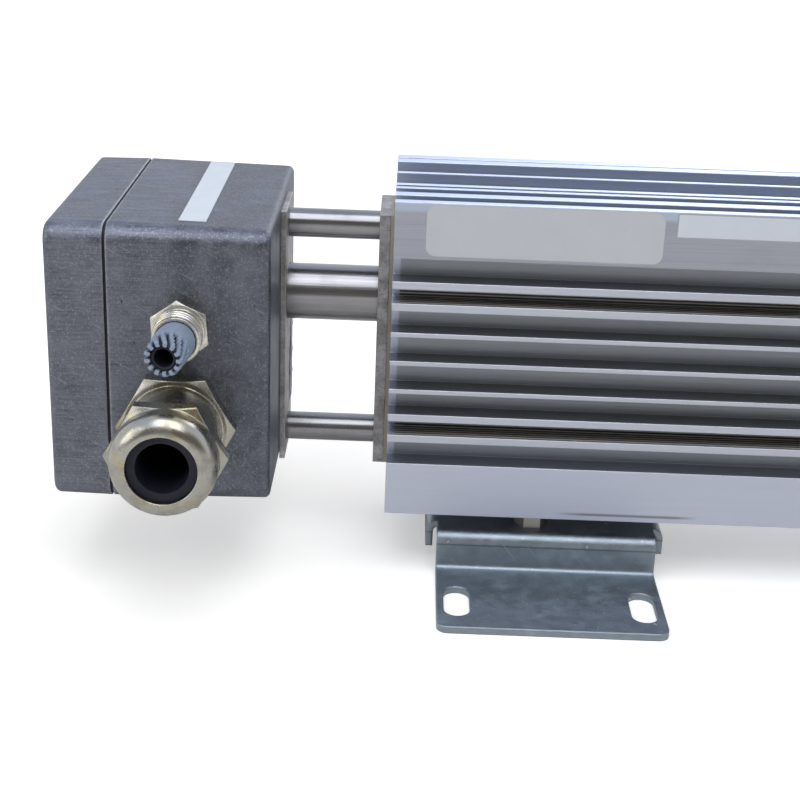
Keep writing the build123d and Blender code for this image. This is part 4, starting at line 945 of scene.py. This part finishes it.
class RESISTOR_OT_stage(bpy.types.Operator):
    """Build the pale floor, the white background, the lights and the camera"""

    bl_idname = "resistor.stage"
    bl_label = "Build stage"

    def execute(self, context):
        stage = context.scene.resistor_stage
        self.build_floor(stage)
        self.build_world(context.scene, stage)
        target = Vector((-0.03, 0.0, 0.05))
        self.add_light("overhead_light", (-0.05, -0.55, 1.3), target, 1.1, stage.key_power)
        self.add_light("side_light", (-1.2, -0.7, 0.6), target, 0.8, stage.side_power)
        self.add_light("back_light", (0.5, 1.0, 0.9), target, 1.0, stage.back_power)
        camera_data = bpy.data.cameras.new("photo_camera")
        camera_data.sensor_width = 36.0
        camera_data.lens = stage.camera_lens
        camera_data.clip_start = 0.01
        camera = bpy.data.objects.new("photo_camera", camera_data)
        camera.location = stage.camera_place
        camera.rotation_euler = Euler(stage.camera_turn, "XYZ")
        context.scene.collection.objects.link(camera)
        context.scene.camera = camera
        context.scene.view_settings.view_transform = "Standard"
        return {"FINISHED"}

    def add_light(self, name, place, target, size, power):
        data = bpy.data.lights.new(name, "AREA")
        data.size = size
        data.energy = power
        light = bpy.data.objects.new(name, data)
        light.location = place
        light.rotation_euler = (target - Vector(place)).to_track_quat("-Z", "Y").to_euler()
        bpy.context.scene.collection.objects.link(light)

    def build_floor(self, stage):
        """Square floor just under the feet, white to the camera away from the shadow."""
        half = stage.floor_size / 2
        mesh = bpy.data.meshes.new("floor")
        corners = [(-half, -half, 0.0), (half, -half, 0.0), (half, half, 0.0), (-half, half, 0.0)]
        mesh.from_pydata(corners, [], [(0, 1, 2, 3)])
        floor = bpy.data.objects.new("floor", mesh)
        bpy.context.scene.collection.objects.link(floor)
        material = bpy.data.materials.new("floor")
        material.use_nodes = True
        tree = Tree(material.node_tree)
        shader = material.node_tree.nodes["Principled BSDF"]
        shader.inputs["Base Color"].default_value = (0.9, 0.9, 0.9, 1.0)
        shader.inputs["Roughness"].default_value = 0.9
        shader.inputs["Specular IOR Level"].default_value = 0.0
        shader.inputs["Emission Color"].default_value = (1.0, 1.0, 1.0, 1.0)
        tree.feed(shader.inputs["Emission Strength"],
                  tree.math("MULTIPLY", tree.add("ShaderNodeLightPath").outputs["Is Camera Ray"],
                            0.4))
        mesh.materials.append(material)

    def build_world(self, scene, stage):
        """Even room light and a white background, with a dim wall at the photographer's side.

        The wall is seen in reflections only. It stands over directions towards -Y, from just
        above the horizon up to about half the height of the room.
        """
        world = bpy.data.worlds.new("studio")
        scene.world = world
        world.use_nodes = True
        tree = Tree(world.node_tree)
        background = world.node_tree.nodes["Background"]
        path = tree.add("ShaderNodeLightPath").outputs
        towards = tree.add("ShaderNodeTexCoord").outputs["Generated"]
        axes = tree.add("ShaderNodeSeparateXYZ", {"Vector": towards}).outputs
        wall = tree.math("MULTIPLY", tree.spread(axes["Y"], -0.15, -0.5),
                         tree.math("MULTIPLY", tree.spread(axes["Z"], -0.02, 0.08),
                                   tree.spread(axes["Z"], 0.75, 0.55)))
        room = tree.mix(tree.spread(axes["Z"], 0.0, 1.0), (1.0, 1.0, 1.0, 1.0),
                        (0.68, 0.78, 1.0, 1.0))
        room = tree.mix(tree.math("MULTIPLY", wall, 0.93), room, (0.16, 0.14, 0.12, 1.0))
        tree.feed(background.inputs["Color"],
                  tree.mix(path["Is Glossy Ray"], (1.0, 1.0, 1.0, 1.0), room))
        seen = tree.math("ADD", path["Is Camera Ray"], path["Is Glossy Ray"])
        seen = tree.math("ADD", seen, path["Is Transmission Ray"], clamp=True)
        strength = tree.spread(seen, 0.0, 1.0, stage.room_level, 1.0)
        tree.feed(background.inputs["Strength"], strength)


class RESISTOR_PT_panel(bpy.types.Panel):
    """Lists the resistor's operators and settings"""

    bl_idname = "RESISTOR_PT_panel"
    bl_label = "Braking resistor"
    bl_space_type = "VIEW_3D"
    bl_region_type = "UI"
    bl_category = "Resistor"

    def draw(self, context):
        for operator in OPERATORS:
            self.layout.operator(operator.bl_idname)
        for group in (context.scene.resistor_finish, context.scene.resistor_detail,
                      context.scene.resistor_stage):
            for name in group.__annotations__:
                self.layout.prop(group, name)


OPERATORS = (
    RESISTOR_OT_effects,
    RESISTOR_OT_profile_finish,
    RESISTOR_OT_box_finish,
    RESISTOR_OT_gland_finish,
    RESISTOR_OT_bracket_finish,
    RESISTOR_OT_element_finish,
    RESISTOR_OT_label_finish,
    RESISTOR_OT_gland_thread,
    RESISTOR_OT_leaning_claw,
    RESISTOR_OT_sealant,
    RESISTOR_OT_stage,
)
CLASSES = (ResistorFinish, ResistorDetail, ResistorStage, *OPERATORS, RESISTOR_PT_panel)


def register():
    for each in CLASSES:
        bpy.utils.register_class(each)
    bpy.types.Scene.resistor_finish = bpy.props.PointerProperty(type=ResistorFinish)
    bpy.types.Scene.resistor_detail = bpy.props.PointerProperty(type=ResistorDetail)
    bpy.types.Scene.resistor_stage = bpy.props.PointerProperty(type=ResistorStage)


def unregister():
    del bpy.types.Scene.resistor_finish
    del bpy.types.Scene.resistor_detail
    del bpy.types.Scene.resistor_stage
    for each in reversed(CLASSES):
        bpy.utils.unregister_class(each)


def main():
    """Registers the add-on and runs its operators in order."""
    register()
    for operator in OPERATORS:
        group, name = operator.bl_idname.split(".")
        getattr(getattr(bpy.ops, group), name)()


if __name__ == "__main__":
    main()
